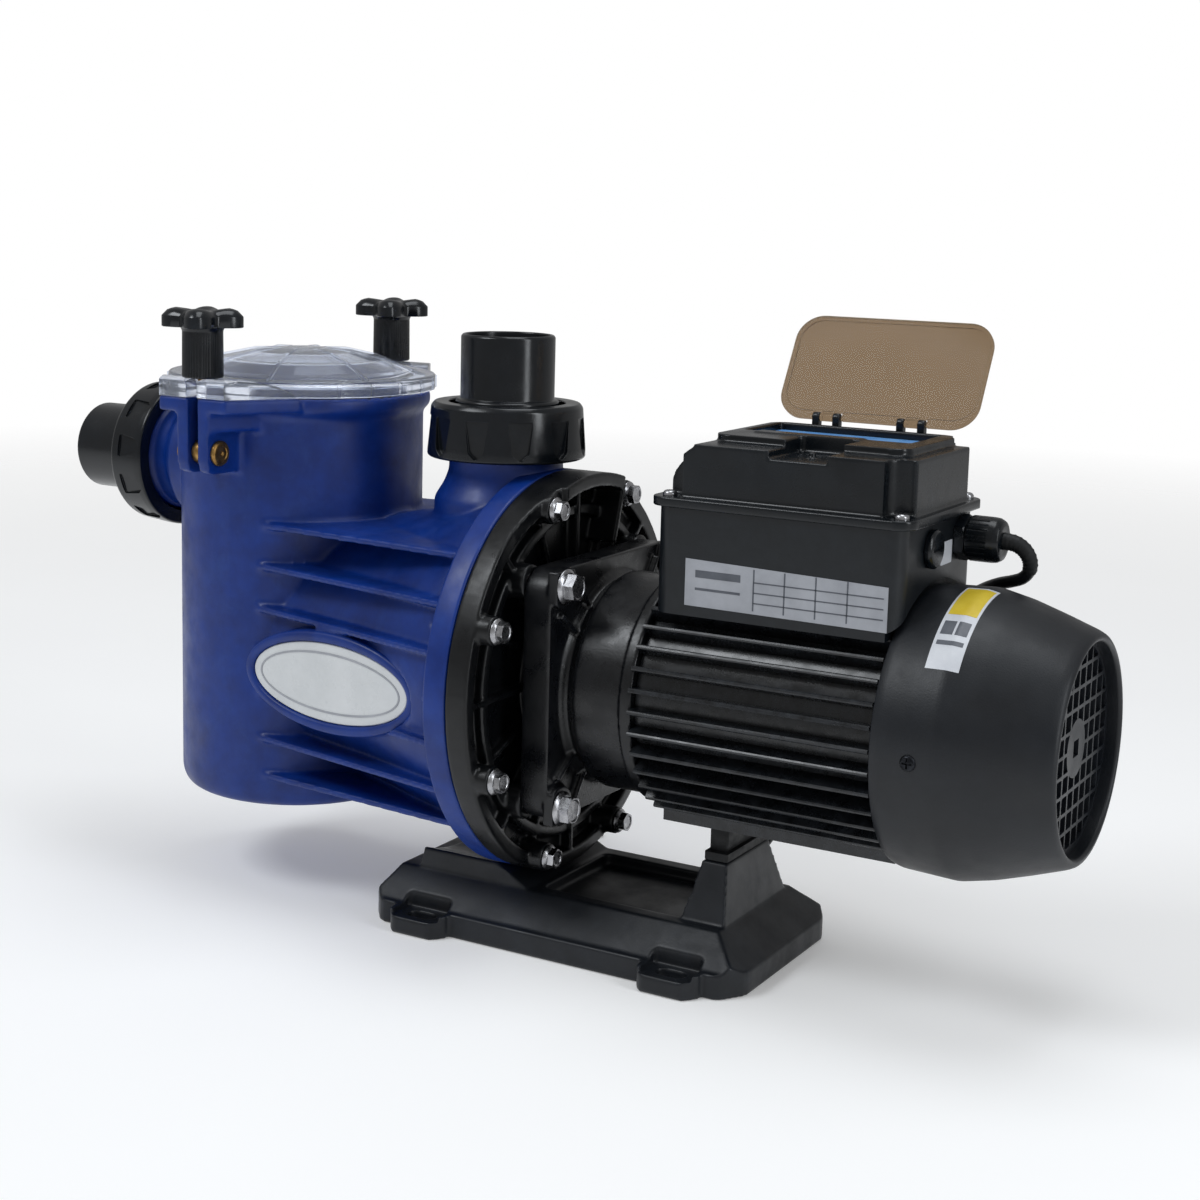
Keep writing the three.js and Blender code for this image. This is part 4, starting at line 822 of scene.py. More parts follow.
def make_strainer():
    piece("strainer_lid_clear", strainer_lid(), "clear", node="strainer_lid", bevel=0.5)
    piece("basket_moulding", strainer_basket(), "basket", node="strainer_basket")
    bolt, pin, knob = swing_bolt(), hinge_pin(), hand_knob()
    for tag, side in (("near", lambda s: s), ("far", mirrored)):
        swing, turning = f"swing_{tag}", f"knob_{tag}_body"
        piece(f"eye_bolt_{tag}", side(bolt), "brass", swing, node=f"swing_bolt_{tag}")
        piece(f"pin_{tag}", side(pin), "brass", node=f"hinge_pin_{tag}")
        grip = knob if tag == "near" else moved(knob, 0, 2 * PIN_Y)
        piece(f"hand_knob_{tag}", grip, "glossy", turning, node=f"knob_{tag}", sharp=40)


# ---------------------------------------------------------------- seal plate, screws and wet end
PLATE_BACK, PLATE_FLOOR, ADAPTER_BACK = 14.6, 20, 34
HOOD_NEAR, HOOD_FAR, HOOD_X = -38, 17.2, 37.5
SCREW_SEAT, ADAPTER_SEAT, ADAPTER_BOLT, STUD_HOLE = 34.8, 53.2, 57, 4.3


def adapter_holes(x0, x1):
    """The holes of the four screws that hold the adapter to the seal plate."""
    hole = rod_x(STUD_HOLE, x0, x1, -ADAPTER_BOLT, AXIS_Z + ADAPTER_BOLT, 24)
    return merged(*round_shaft(hole, steps(4)))


def plate_hood():
    """The raised roof over part of the seal plate's ribs, with one end wall."""
    count = 40
    arc = [math.radians(HOOD_NEAR + (HOOD_FAR - HOOD_NEAR) * i / count) for i in range(count + 1)]
    outline = [(FLANGE_R * math.sin(a), AXIS_Z + FLANGE_R * math.cos(a)) for a in reversed(arc)]
    outline += [(99 * math.sin(a), AXIS_Z + 99 * math.cos(a)) for a in arc]
    roof = slab_x(outline, PLATE_BACK + 2, HOOD_X)
    taper = slab([(FRONT - 1, -70), (HOOD_X + 1, -70), (HOOD_X + 1, -30.5), (34.4, -30.5)], AXIS_Z + 60,
                 AXIS_Z + 120)
    wall = block(PLATE_FLOOR - 1, HOOD_X, -1.6, 1.6, AXIS_Z + 70, AXIS_Z + 103)
    return [cut(roof, taper), *round_shaft(wall, [-HOOD_FAR])]


def plate_rib(r0, r1, top):
    """A radial rib of the seal plate between two radii."""
    return block(PLATE_FLOOR - 1, top, -1.3, 1.3, AXIS_Z + r0, AXIS_Z + r1)


def seal_plate():
    """The ribbed plate between casing and motor, with its hood, bosses and screw holes."""
    body = spun([(PLATE_BACK, 20), (PLATE_BACK, FLANGE_R), (FRONT, FLANGE_R), (FRONT, 98.5),
                 (PLATE_FLOOR, 98.5), (PLATE_FLOOR, 89), (25.5, 89), (25.5, 83), (PLATE_FLOOR, 83),
                 (PLATE_FLOOR, 46), (ADAPTER_BACK - 0.3, 46), (ADAPTER_BACK - 0.3, 20)], 1.2)
    boss = rod_x(7.4, PLATE_FLOOR - 1, SCREW_SEAT, 0, AXIS_Z + BOLT_CIRCLE, 40)
    post = rod_x(9, PLATE_FLOOR - 1, ADAPTER_BACK - 0.3, -ADAPTER_BOLT, AXIS_Z + ADAPTER_BOLT, 40)
    parts = [*round_shaft(plate_rib(44, 99, 27), steps(8)),
             *round_shaft(plate_rib(60, 93, 25), steps(8, 22.5)), *round_shaft(boss, COLLAR_BOLTS),
             *round_shaft(post, steps(4)), *plate_hood()]
    holes = merged(collar_holes(PLATE_BACK - 1, SCREW_SEAT + 1),
                   adapter_holes(PLATE_FLOOR + 2, ADAPTER_BACK + 1))
    return moulded(cut(join(body, *parts), holes), 1.0, 2, 0.3)


def hex_screw(shank_r, length, head_r, flange_r, height):
    """A flange-head screw along X with its seat at x = 0: a chamfered hexagon with a dished top."""
    shank = rod(shank_r, -length, 1, 32)
    collar = lathe([(0, 0), (flange_r, 0), (flange_r, 0.6), (head_r, 2.1), (0, 2.2)], 0.3, 48)
    hexagon = turned([(0, 1), (head_r, 1), (head_r, height), (0, height)], 6)
    crown = lathe([(0, 0), (flange_r, 0), (flange_r, height - 1.5), (head_r - 0.5, height),
                   (head_r - 1.6, height), (head_r - 2.1, height - 0.5), (0, height - 0.5)], 0.25, 48)
    return along_x(join(shank, collar, common(hexagon, crown)))


def make_screws():
    screw = hex_screw(3, 34, 5.3, 6.7, 5.6)
    for i, angle in enumerate(COLLAR_BOLTS):
        twisted = placed(screw, turn(11 + 23 * i, "X"))
        shape = round_shaft(moved(twisted, SCREW_SEAT + 0.3, 0, AXIS_Z + BOLT_CIRCLE), [angle])[0]
        piece(f"casing_screw_{i + 1}", shape, "steel", node=f"casing_bolt_{i + 1}", sharp=30)
    screw = hex_screw(4, 28, 7.2, 8.9, 7.4)
    for i, angle in enumerate(steps(4)):
        twisted = placed(screw, turn(17 + 31 * i, "X"))
        shape = round_shaft(moved(twisted, ADAPTER_SEAT + 0.3, -ADAPTER_BOLT, AXIS_Z + ADAPTER_BOLT),
                            [angle])[0]
        piece(f"adapter_screw_{i + 1}", shape, "steel", node=f"adapter_bolt_{i + 1}", sharp=30)


def make_wet_end():
    piece("seal_plate_moulding", seal_plate(), "plate", node="seal_plate", sharp=60)
    make_screws()
    front = spun([(-34, 24), (-34, 27), (-22, 29), (-13, 62), (-11, 62), (-19.5, 26.5), (-22, 24)], 0.4,
                 96)
    back = spun([(-4, 8.6), (-6.5, 62), (-4, 62), (-1, 14), (9, 13), (9, 8.6)], 0.4, 96)
    line = [(24, -1.2), (34, 1.8), (44, 6), (53, 12), (61, 19), (60, 21.4), (52, 14.2), (43, 8.6),
            (33, 4.2), (24, 1.2)]
    vanes = [common(placed(slab_x(line, -14, -5), shift(z=AXIS_Z) @ turn(a, "X")),
                    spun([(-21.5, 23), (-11.8, 61.5), (-5, 61.5), (-5, 23)], 0, 96)) for a in steps(6)]
    piece("impeller_wheel", join(front, back, *vanes), "inner", "rotor", node="impeller")
    guide = spun([(-60, 29.6), (-60, 40), (-38, 64), (-9, 68), (-9, 83), (-6, 83), (-6, 65.5), (-33, 61),
                  (-37, 29.6)], 1)
    piece("diffuser_ring", guide, "inner", node="diffuser")
    piece("seal_carbon", spun([(9.6, 8.2), (9.6, 13), (15, 13), (15, 8.2)], 0.4, 64), "inner", "rotor",
          node="seal_rotating")
    piece("seal_ceramic", spun([(15.3, 8.6), (15.3, 19), (20, 19.6), (20, 8.6)], 0.4, 64), "seat",
          node="seal_seat")
    shaft = spun([(-20, 0), (-20, 7.6), (40, 7.6), (40, 9.6), (99, 9.6), (99, 12), (196, 12), (196, 8.6),
                  (262, 8.6), (262, 6), (286, 6), (286, 0)], 0.5, 64)
    piece("shaft", shaft, "shaft", "rotor", node="motor_shaft")


# ---------------------------------------------------------------- motor
def motor_adapter():
    """The square flange and bell that carry the motor."""
    half = 65
    flange = slab_x(rounded(-half, half, AXIS_Z - half, AXIS_Z + half, 15, 10), ADAPTER_BACK, 49.5)
    bell = spun([(47.5, 0), (47.5, 52), (49.6, 55.6), (50.6, 55.8), (51.4, 54.4), (52.6, 52.6),
                 (55.5, 54), (58.5, 57), (86, 57), (86, 60), (92.7, 60), (92.7, 0)], 0.8)
    boss = rod_x(11.5, 47.5, ADAPTER_SEAT, -ADAPTER_BOLT, AXIS_Z + ADAPTER_BOLT, 64)
    bosses = common(merged(*round_shaft(boss, steps(4))),
                    block(0, 100, -half, half, AXIS_Z - half, AXIS_Z + half))
    webs = []
    for a in steps(4):
        web = slab([(49, -1.4), (53, -1.4), (53, 1.4), (49, 1.4)], AXIS_Z + 54, AXIS_Z + 72)
        webs += round_shaft(web, [a + 45 - 9, a + 45 + 9])
    clear = spun([(30, 0), (30, 44), (80, 44), (80, 13), (94, 13), (94, 0)], 1)
    seat = spun([(82, 0), (82, 17.8), (94, 17.8), (94, 0)], 0.2, 96)
    webs = common(join(*webs), block(0, 100, -half, half, AXIS_Z - half, AXIS_Z + half))
    return moulded(cut(join(flange, bell, bosses, webs), clear, seat,
                       adapter_holes(33, ADAPTER_SEAT + 1)), 0.9, 2, 0.35)


def motor_frame():
    """The finned tube of the motor with its foot and the pad under the control box."""
    front, rear = 93, 219
    tube = rod_x(55, front, rear, 0, AXIS_Z, 180, 49)
    fin = slab_x([(-2.1, AXIS_Z + 51), (2.1, AXIS_Z + 51), (1.3, AXIS_Z + 57), (1.1, AXIS_Z + 63.4),
                  (0.5, AXIS_Z + 64), (-0.5, AXIS_Z + 64), (-1.1, AXIS_Z + 63.4),
                  (-1.3, AXIS_Z + 57)][::-1], front, rear)
    angles = [a for a in steps(36) if 38 < min(a, 360 - a) < 160]
    foot = block(front, rear, -21, 21, 72.2, AXIS_Z - 51)
    pad = block(99.5, rear - 2, -36, 36, AXIS_Z + 38, 185.7)
    return cut(join(tube, foot, pad, *round_shaft(fin, angles)),
               rod_x(49, front - 1, rear + 1, 0, AXIS_Z, 180))


def cooling_fan():
    """A hub, a disc and six straight blades."""
    hub = spun([(244, 8.9), (244, 14), (262, 14), (262, 8.9)], 0.6, 64)
    disc = spun([(252, 13), (252, 50), (254, 50), (254, 13)], 0.5, 96)
    blade = slab_x(softened([(-1.2, AXIS_Z + 20), (1.2, AXIS_Z + 20), (1.2, AXIS_Z + 48),
                             (-1.2, AXIS_Z + 48)], 0.8), 253, 276)
    return join(hub, disc, *round_shaft(blade, steps(6)))


def fan_cover():
    """The cowl: a curved shell closed by a grille of square holes."""
    lip, x, thick, pitch, bar, disc_r = 50.8, 297.2, 2.4, 9.6, 1.7, 14
    shell = spun([(221, 66.2), (221, 67.8), (225, 69.2), (252, 70.5), (268, 67.0), (284, 62.0),
                  (300.3, 56.4), (303.2, 54.9), (304.3, 53.4), (304.3, 51.8), (303, lip), (x - 1, lip),
                  (280, 58.4), (251, 67.5)], 2.2, 160)
    plate = spun([(x - thick, 0), (x - thick, lip + 1.6), (x, lip + 1.6), (x, 0)], 0.3, 128)
    side, cells = (pitch - bar) / 2, []
    for row in range(-6, 6):
        for column in range(-6, 6):
            y, z = (column + 0.5) * pitch, (row + 0.5) * pitch
            far = math.hypot(y, z)
            if far > lip + side or far < disc_r - 3:
                continue
            cell = slab_x(rounded(y - side, y + side, AXIS_Z + z - side, AXIS_Z + z + side, 0.9, 2),
                          x - 4, x + 1)
            if far > lip - 5.4:
                cell = common(cell, rod_x(lip - 1.8, x - 4.2, x + 1.2, 0, AXIS_Z, 128))
            if cell[0]:
                cells.append(cell)
    disc = rod_x(disc_r, x - thick, x, 0, AXIS_Z, 64)
    middle = block(x - 4, x + 1, -4, 4, AXIS_Z - 4, AXIS_Z + 4)
    grille = cut(join(cut(plate, merged(*cells)), disc), middle)
    return join(shell, grille)


def make_motor():
    piece("adapter_casting", motor_adapter(), "cast", node="motor_adapter", sharp=60)
    piece("motor_housing", motor_frame(), "aluminium", node="motor_frame", sharp=40)
    for name, look, body, profile in (
            ("stator", "winding", PUMP, [(112, 33), (112, 48.2), (190, 48.2), (190, 33)]),
            ("rotor_core", "core", "rotor", [(114, 12.4), (114, 32), (188, 32), (188, 12.4)]),
            ("front_bearing", "shaft", PUMP, [(82.6, 9.95), (82.6, 17.3), (92, 17.3), (92, 9.95)]),
            ("rear_bearing", "shaft", PUMP, [(220.6, 8.95), (220.6, 17.3), (230, 17.3), (230, 8.95)]),
            ("rear_end_shield", "cast", PUMP,
             [(219.3, 9.4), (219.3, 60), (226, 60), (228, 30), (234, 22), (234, 9.4), (230.4, 9.4),
              (230.4, 17.7), (220.2, 17.7), (220.2, 9.4)])):
        piece(name + "_ring", spun(profile, 0.6, 96), look, body, node=name)
    piece("fan_wheel", cooling_fan(), "inner", "rotor", node="cooling_fan")
    piece("fan_cowl", fan_cover(), "cowl", node="fan_cover", sharp=30)
    for name, angle in (("cowl_screw_near", 90), ("cowl_screw_far", -90)):
        screw = placed(pan_screw(3.9), shift(z=AXIS_Z) @ turn(angle, "X") @ shift(241, 0, 69.4))
        piece(name, screw, "dark_steel", sharp=30)
    make_cowl_label()


def make_cowl_label():
    """A blank two-tone label bent round the near side of the fan cover."""
    def band(x0, x1, a0, a1, proud, name, look):
        across, along = 8, 24
        points = []
        for k in range(along + 1):
            a = math.radians(a0 + (a1 - a0) * k / along)
            ring = [(x0 + (x1 - x0) * i / across, proud) for i in range(across + 1)]
            ring += [(x, -0.6) for x, _ in reversed(ring)]
            for x, lift in ring:
                r = cowl_radius(x) + lift
                points.append((x, -r * math.sin(a), AXIS_Z + r * math.cos(a)))
        n = 2 * (across + 1)
        faces = hoops(along + 1, n) + [list(range(n)), [n * along + i for i in reversed(range(n))]]
        piece(name, (points, faces), look, sharp=40)
    band(241.8, 257.6, 2, 53.6, 0.15, "cowl_label", "sticker")
    band(242.9, 256.5, 4, 27, 0.27, "cowl_label_inlay", "inlay")
    band(243.4, 249.2, 31, 38, 0.27, "cowl_label_block_1", "print")
    band(250.4, 256.0, 31, 38, 0.27, "cowl_label_block_2", "print")
    band(243.4, 256.0, 41, 43, 0.27, "cowl_label_line", "print")


def cowl_radius(x):
    """The fan cover's outer radius under the label."""
    return 69.2 + 1.3 * (x - 225) / 27 if x < 252 else 70.5 - 3.5 * (x - 252) / 16


def pan_screw(r):
    """A pan-head screw that stands on z = 0, with a cross cut in its head."""
    head = lathe([(0, -1), (r, -1), (r, 0.9), (r - 0.9, 2.0), (0, 2.3)], 0.5, 40)
    arms = [block(-r * 0.62, r * 0.62, -0.45, 0.45, 1.1, 3),
            block(-0.45, 0.45, -r * 0.62, r * 0.62, 1.1, 3)]
    return cut(head, join(*arms))


# ---------------------------------------------------------------- control box
BOX = Sizes(x0=97.5, x1=225.5, y=49.2, bottom=186, top=238.2, wall=3, floor=197, step_x=215.5,
            step_z=212.5)
RIM = Sizes(x0=94, x1=230, y=51.5, z0=238.5, z1=243.2)
COVER = Sizes(x0=99.5, x1=226, y=47.2, top=269.6)
BEZEL = Sizes(x0=116.5, x1=217.5, y0=-28, y1=46.5, top=273.2)
LID = Sizes(x0=113.5, x1=221.5, depth=59, thick=2.6, y=52.6, z=276.6, open=120)
HINGES = (142.5, 188.5)
KEYPAD = Sizes(x0=121, x1=208, y0=0, y1=43.5, z0=268, z1=269.4)
LATCH = Sizes(x0=131, x1=186, y0=-10, y1=-1, top=273.9)
KEYS = (("button_speed_1", 146, "key_blue"), ("button_speed_2", 160.5, "key_blue"),
        ("button_speed_3", 175, "key_blue"), ("button_stop", 189.5, "key_red"))
KEY = Sizes(r=5.4, y=20, top=270.3, pocket=265.9)
GLAND_Y, GLAND_Z, BLANK_Y, BLANK_Z = 28, 226.2, -12, 225.5
GLAND_HOLE, BLANK_HOLE = 8.3, 6.3
LABEL_FACE = -49.55                  # the Y of the data label's outer face
CORD_R = 3.1


def terminal_box():
    """The lower half of the control box, with its floor above the motor and two cable holes."""
    x0, x1, y, bottom, top, wall, floor, step_x, step_z = BOX.values()
    outer = slab(rounded(x0, x1, -y, y, 9, 8), bottom, top)
    inner = cut(slab(rounded(x0 + wall, x1 - wall, -y + wall, y - wall, 6, 6), floor, top + 1),
                block(step_x, x1, -y, y, floor - 1, step_z))
    motor_room = common(rod_x(65, x0 - 10, x1 + 10, 0, AXIS_Z, 180),
                        block(0, x1 + 10, -y, y, 0, floor - wall - 1))
    tools = [inner, motor_room, rod_x(72, 219, x1 + 10, 0, AXIS_Z, 180),
             rod_x(GLAND_HOLE, x1 - 6, x1 + 1, GLAND_Y, GLAND_Z, 48),
             rod_x(BLANK_HOLE, x1 - 6, x1 + 1, BLANK_Y, BLANK_Z, 48)]
    return cut(outer, *tools)


def key_rooms(z0, z1):
    """A round room for each key between two heights."""
    return [moved(rod(KEY.r + 0.3, z0, z1, 48), x, KEY.y) for _, x, _ in KEYS]


def hinge_seat(x0, x1):
    """One bracket of the smoked lid's hinge."""
    return [rod_x(2.4, x0, x1, LID.y, LID.z, 32),
            block(x0, x1, LID.y - 2.3, LID.y + 2.3, COVER.top - 4, LID.z),
            block(x0, x1, COVER.y - 3, LID.y, COVER.top - 6, COVER.top - 0.6)]


def box_cover():
    """The upper half of the control box: rim, raised top, bezel, latch, brackets and key rooms."""
    x0, x1, y, top = COVER.values()
    rim = slab(rounded(RIM.x0, RIM.x1, -RIM.y, RIM.y, 10, 10), RIM.z0, RIM.z1)
    raised = slab(rounded(x0, x1, -y, y, 8, 10), RIM.z1 - 1, top)
    bezel = slab(rounded(BEZEL.x0, BEZEL.x1, BEZEL.y0, BEZEL.y1, 9, 10), top - 1, BEZEL.top)
    hollow = block(x0 + 13, x1 - 13, -y + 3, y - 3, RIM.z0 - 1, 259.5)
    window = block(KEYPAD.x0, KEYPAD.x1, KEYPAD.y0, KEYPAD.y1, KEYPAD.z0 - 0.3, BEZEL.top + 1)
    dip = slab(rounded(LATCH.x1 - 30, LATCH.x1, -y - 6, LATCH.y0, 2.5, 4), 265.6, BEZEL.top + 1)
    bar = block(LATCH.x0, LATCH.x1, LATCH.y0, LATCH.y1, top - 2, LATCH.top)
    post = moved(rod(1.7, 264, 268.6, 24), LATCH.x1 - 15, -30)
    line = [(x0 - 9, 300), (x0 - 9, 250), (x0, 250), (x0 + 1.5, 254.5), (x0 + 4.5, 258.5),
            (x0 + 8, 261.5), (x0 + 13.5, 266), (x0 + 17, 268.4), (x0 + 17, 300)]
    corners = [moved(rod(8.6, RIM.z1, BEZEL.top + 1, 64), x, s * (y - 3.5))
               for x in (x0 + 3.5, x1 - 3.5) for s in (-1, 1)]
    seats = [s for x in HINGES for side in (-7.6, 3.6) for s in hinge_seat(x + side, x + side + 4)]
    frame = join(cut(join(cut(raised, slab_y(line[::-1], -60, 60)), bezel), window, dip, hollow), post)
    seam = cut(slab(rounded(RIM.x0 - 2, RIM.x1 + 2, -RIM.y - 2, RIM.y + 2, 12, 8), 239.6, 240.2),
               slab(rounded(RIM.x0 + 0.7, RIM.x1 - 0.7, -RIM.y + 0.7, RIM.y - 0.7, 9.4, 8), 239, 241))
    shape = moulded(cut(join(rim, frame, bar, *seats), hollow, *corners, seam), 0.7, 3, 0.35)
    return cut(shape, *key_rooms(KEY.pocket, KEYPAD.z0 + 1))


def look_lid():
    """The smoked lid, made shut and then turned open about its hinge."""
    x0, x1, depth, thick, y, z = list(LID.values())[:6]
    near, far = y + 1 - depth, y + 1
    plate = slab(rounded(x0, x1, near, far, 14, 12), z - 0.2, z - 0.2 + thick)
    sunk = slab(rounded(x0 + 2, x1 - 2, near + 2, far - 5, 12, 12), z + 1.4, z + 4)
    ears = [rod_x(2.3, x - 3.3, x + 3.3, y, z, 32) for x in HINGES]
    room = [block(x + s - 2.3, x + s + 2.3, y - 3.4, y + 4, z - 4, z + 4)
            for x in HINGES for s in (-5.6, 5.6)]
    shut = join(cut(plate, sunk, *room), *ears)
    return placed(shut, shift(0, y, z) @ turn(-LID.open, "X") @ shift(0, -y, -z))


def make_box():
    piece("lower_box", terminal_box(), "box", node="terminal_box", bevel=0.8)
    piece("upper_cover", box_cover(), "black", node="box_cover", sharp=50)
    pad = slab(rounded(KEYPAD.x0 + 0.3, KEYPAD.x1 - 0.3, KEYPAD.y0 + 0.3, KEYPAD.y1 - 0.3, 1.5, 4),
               KEYPAD.z0, KEYPAD.z1)
    piece("keypad_film", cut(pad, *key_rooms(KEYPAD.z0 - 1, KEYPAD.z1 + 1)), "keypad",
          node="control_panel")
    for name, x, look in KEYS:
        key = lathe([(0, 267), (KEY.r, 267), (KEY.r, 269.4), (KEY.r - 1.2, 270.1), (0, KEY.top)], 0.4, 64)
        piece(name + "_cap", moved(key, x, KEY.y), look, name + "_body", node=name)
    piece("smoked_lid", look_lid(), "smoked", "lookout_lid", node="timer_lid", bevel=0.35)
    for x in (COVER.x0 + 3.5, COVER.x1 - 3.5):
        for side, tag in ((-1, "near"), (1, "far")):
            screw = moved(pan_screw(3.6), x, side * (COVER.y - 3.5), RIM.z1 + 0.5)
            piece(f"cover_screw_{'left' if x < 150 else 'right'}_{tag}", screw, "steel",
                  sharp=30)
    label = slab_y([(115.5, 191.4), (220, 190.6), (220, 211.9), (115.5, 214.4)], LABEL_FACE,
                   LABEL_FACE + 0.3)
    piece("box_label", label, "label")
    ruled = [(x - 0.35, x + 0.35, 192.6, 212.6) for x in (152, 168, 184, 200)]
    ruled += [(152, 218, z - 0.3, z + 0.3) for z in (196.4, 201.4, 206.4)]
    ruled += [(121, 145, 205.6, 209.2), (121, 145, 199.4, 200.6)]
    lines = [block(x0, x1, LABEL_FACE - 0.13, LABEL_FACE + 0.05, z0, z1) for x0, x1, z0, z1 in ruled]
    piece("box_label_lines", merged(*lines), "print")
    sticker = slab_x(rounded(2, 17, 215.2, 226.4, 1), BOX.x1 + 0.05, BOX.x1 + 0.3)
    piece("box_sticker", sticker, "sticker")
    make_glands()


def make_glands():
    gx = BOX.x1 + 0.3
    hole = rod_x(CORD_R + 0.3, gx - 10, gx + 30, GLAND_Y, GLAND_Z, 48)
    hexagon = rod_x(11.5, gx, gx + 5.2, GLAND_Y, GLAND_Z, 6)
    chamfer = along_x(lathe([(0, gx), (12, gx), (12, gx + 3.8), (10.6, gx + 5.2), (0, gx + 5.2)], 0.3,
                            64), 0, GLAND_Y, GLAND_Z)
    body = join(rod_x(7.9, BOX.x1 - 8, gx + 1, GLAND_Y, GLAND_Z), common(hexagon, chamfer),
                rod_x(8.4, gx + 4, gx + 15, GLAND_Y, GLAND_Z, 64))
    piece("gland_hexagon", cut(body, hole), "black", node="gland_body", sharp=25)
    nut = lathe([(8.8, 0), (10.6, 0), (11.2, 0.8), (11.2, 11), (10.9, 14), (9.6, 16.4), (7.6, 17),
                 (4, 17), (4, 15), (8.8, 12.4)], 0.5, 120)
    ribs = merged(*[placed(rod(0.55, -1, 11, 10), turn(a, "Z") @ shift(11.45)) for a in steps(24)])
    nut = along_x(cut(nut, ribs), gx + 5.6, GLAND_Y, GLAND_Z)
    piece("gland_dome", nut, "black", node="gland_nut", sharp=30)
    head = along_x(lathe([(0, 0.3), (9.5, 0.3), (9.5, 2.8), (8.3, 4), (0, 4)], 0.5, 72),
                   BOX.x1, BLANK_Y, BLANK_Z)
    blank = cut(join(rod_x(5.9, BOX.x1 - 5, BOX.x1 + 1, BLANK_Y, BLANK_Z), head),
                block(BOX.x1 + 3, BOX.x1 + 5, BLANK_Y - 6, BLANK_Y + 6, BLANK_Z - 0.8, BLANK_Z + 0.8))
    piece("blank_cap", blank, "black", node="blanking_plug", sharp=30)


# ---------------------------------------------------------------- base
BASE = Sizes(x0=-66, x1=155.5, y=61, edge=12.5, ridge=27.6, inset=19)
EARS = (-44.5, 104)


def tapered(low, high):
    """A block whose top is smaller than its foot. Each end is (x0, x1, half width, z)."""
    points = [(x, y, end[3]) for end in (low, high)
              for x, y in ((end[0], -end[2]), (end[1], -end[2]), (end[1], end[2]), (end[0], end[2]))]
    return points, [[3, 2, 1, 0], [4, 5, 6, 7]] + [[i, (i + 1) % 4, 4 + (i + 1) % 4, 4 + i]
                                                   for i in range(4)]


def base_foot():
    """The base: a sloped foot with two saddles, a trough and four slotted fixing ears."""
    x0, x1, y, edge, ridge, inset = BASE.values()
    plan = [(x0, -y + 13), (x0 + 11, -y), (x1 - 10, -y), (x1, -y + 14), (x1, y - 14), (x1 - 10, y),
            (x0 + 11, y), (x0, y - 13)]
    plan = softened(plan, 5)
    slope = common(slab(plan, edge - 2, ridge + 1),
                   tapered((x0 + 2, x1 - 1, y - 1.5, edge - 1), (x0 + 12, x1 - inset, y - inset, ridge)))
    parts = [slab(plan, 0, edge), slope,
             tapered((-43, 28, y - inset, ridge - 1), (-39.7, -2, y - inset - 1, 42.4)),
             tapered((112, 137, 37, ridge - 1), (118, 131.5, 25, 56.5))]
    holes = []
    for x in EARS:
        for side in (-1, 1):
            outline = [(x, 56), (x, 67), (x + 4.4, 71), (x + 27, 71), (x + 33.5, 64), (x + 33.5, 56)]
            outline = softened(outline, 2.5)
            parts.append(slab([(a, side * b) for a, b in outline][::side], 0, edge - 0.5))
            holes.append(slab(rounded(x + 3, x + 30.5, *sorted((side * 53, side * 72)), 2, 4), edge - 3.5,
                              40))
            holes.append(slab(rounded(x + 8.8, x + 24.8, side * 61 - 4.5, side * 61 + 4.5, 4.4, 8), -1,
                              edge))
    trough = slab(rounded(30, 116, -33, 33, 4), 21, 60)
    under = tapered((x0 + 6, x1 - 6, y - 10, -1), (x0 + 12, x1 - inset - 6, y - inset - 6, 15))
    whole = cut(join(*parts), *holes, trough, under, rod_x(FLANGE_R + 0.3, -60, 60, 0, AXIS_Z, 180))
    return moulded(whole, 0.9, 3, 0.4)


def make_base():
    piece("base_moulding", base_foot(), "base", node="base", sharp=50)
    low = slab(rounded(118.2, 131.3, -24, 24, 1.5), 56.8, 61)
    high = slab(rounded(118.8, 129, -19, 19, 1.2), 60, 71.9)
    piece("rubber_pad", join(low, high), "rubber", node="motor_pad", bevel=0.6)


# ---------------------------------------------------------------- power cord
CORD_ROUTE = [(247.9, 28, 226.2), (254, 28.2, 225.4), (258.6, 28.6, 222.3), (261, 29.4, 217.5),
              (260.4, 30.8, 212.4), (256.8, 32.6, 208.4), (251, 35.4, 205.8), (243, 40, 203),
              (234, 46.4, 198.6), (221, 54, 190.5), (204, 61, 177), (186, 66, 158), (168, 69, 135),
              (151, 70.5, 111), (136, 71.5, 87), (122, 72.5, 62), (108, 73.5, 38), (92, 74.5, 18.5),
              (72, 76, 7), (50, 77, 3.8), (20, 76.6, 3.5), (-12, 75.7, 3.5), (-41.8, 75.3, 3.5)]
SLEEVE = Sizes(length=24, thick=1.1)
COIL = Sizes(x=-66, y=114.5, outer=39.2, inner=26.8, low=3.5, high=9.7)
PLUG_Y, PLUG_Z = 141.5, 14.3


def coil_points():
    """Two layers of turns: inwards along the floor, up a step, and outwards again to the plug."""
    points, inward, step, outward = [], 720, 100, 710          # degrees of each stretch
    for degrees in range(15, inward + step + outward + 1, 15):
        if degrees <= inward:
            r, z = COIL.outer - (COIL.outer - COIL.inner) * degrees / inward, COIL.low
        elif degrees <= inward + step:
            share = (degrees - inward) / step
            r, z = COIL.inner, COIL.low + (COIL.high - COIL.low) * share * share * (3 - 2 * share)
        else:
            r, z = COIL.inner + (COIL.outer - COIL.inner) * (degrees - inward - step) / outward, COIL.high
        a = math.radians(-90 - degrees)
        points.append((COIL.x + r * math.cos(a), COIL.y + r * math.sin(a), z))
    return points


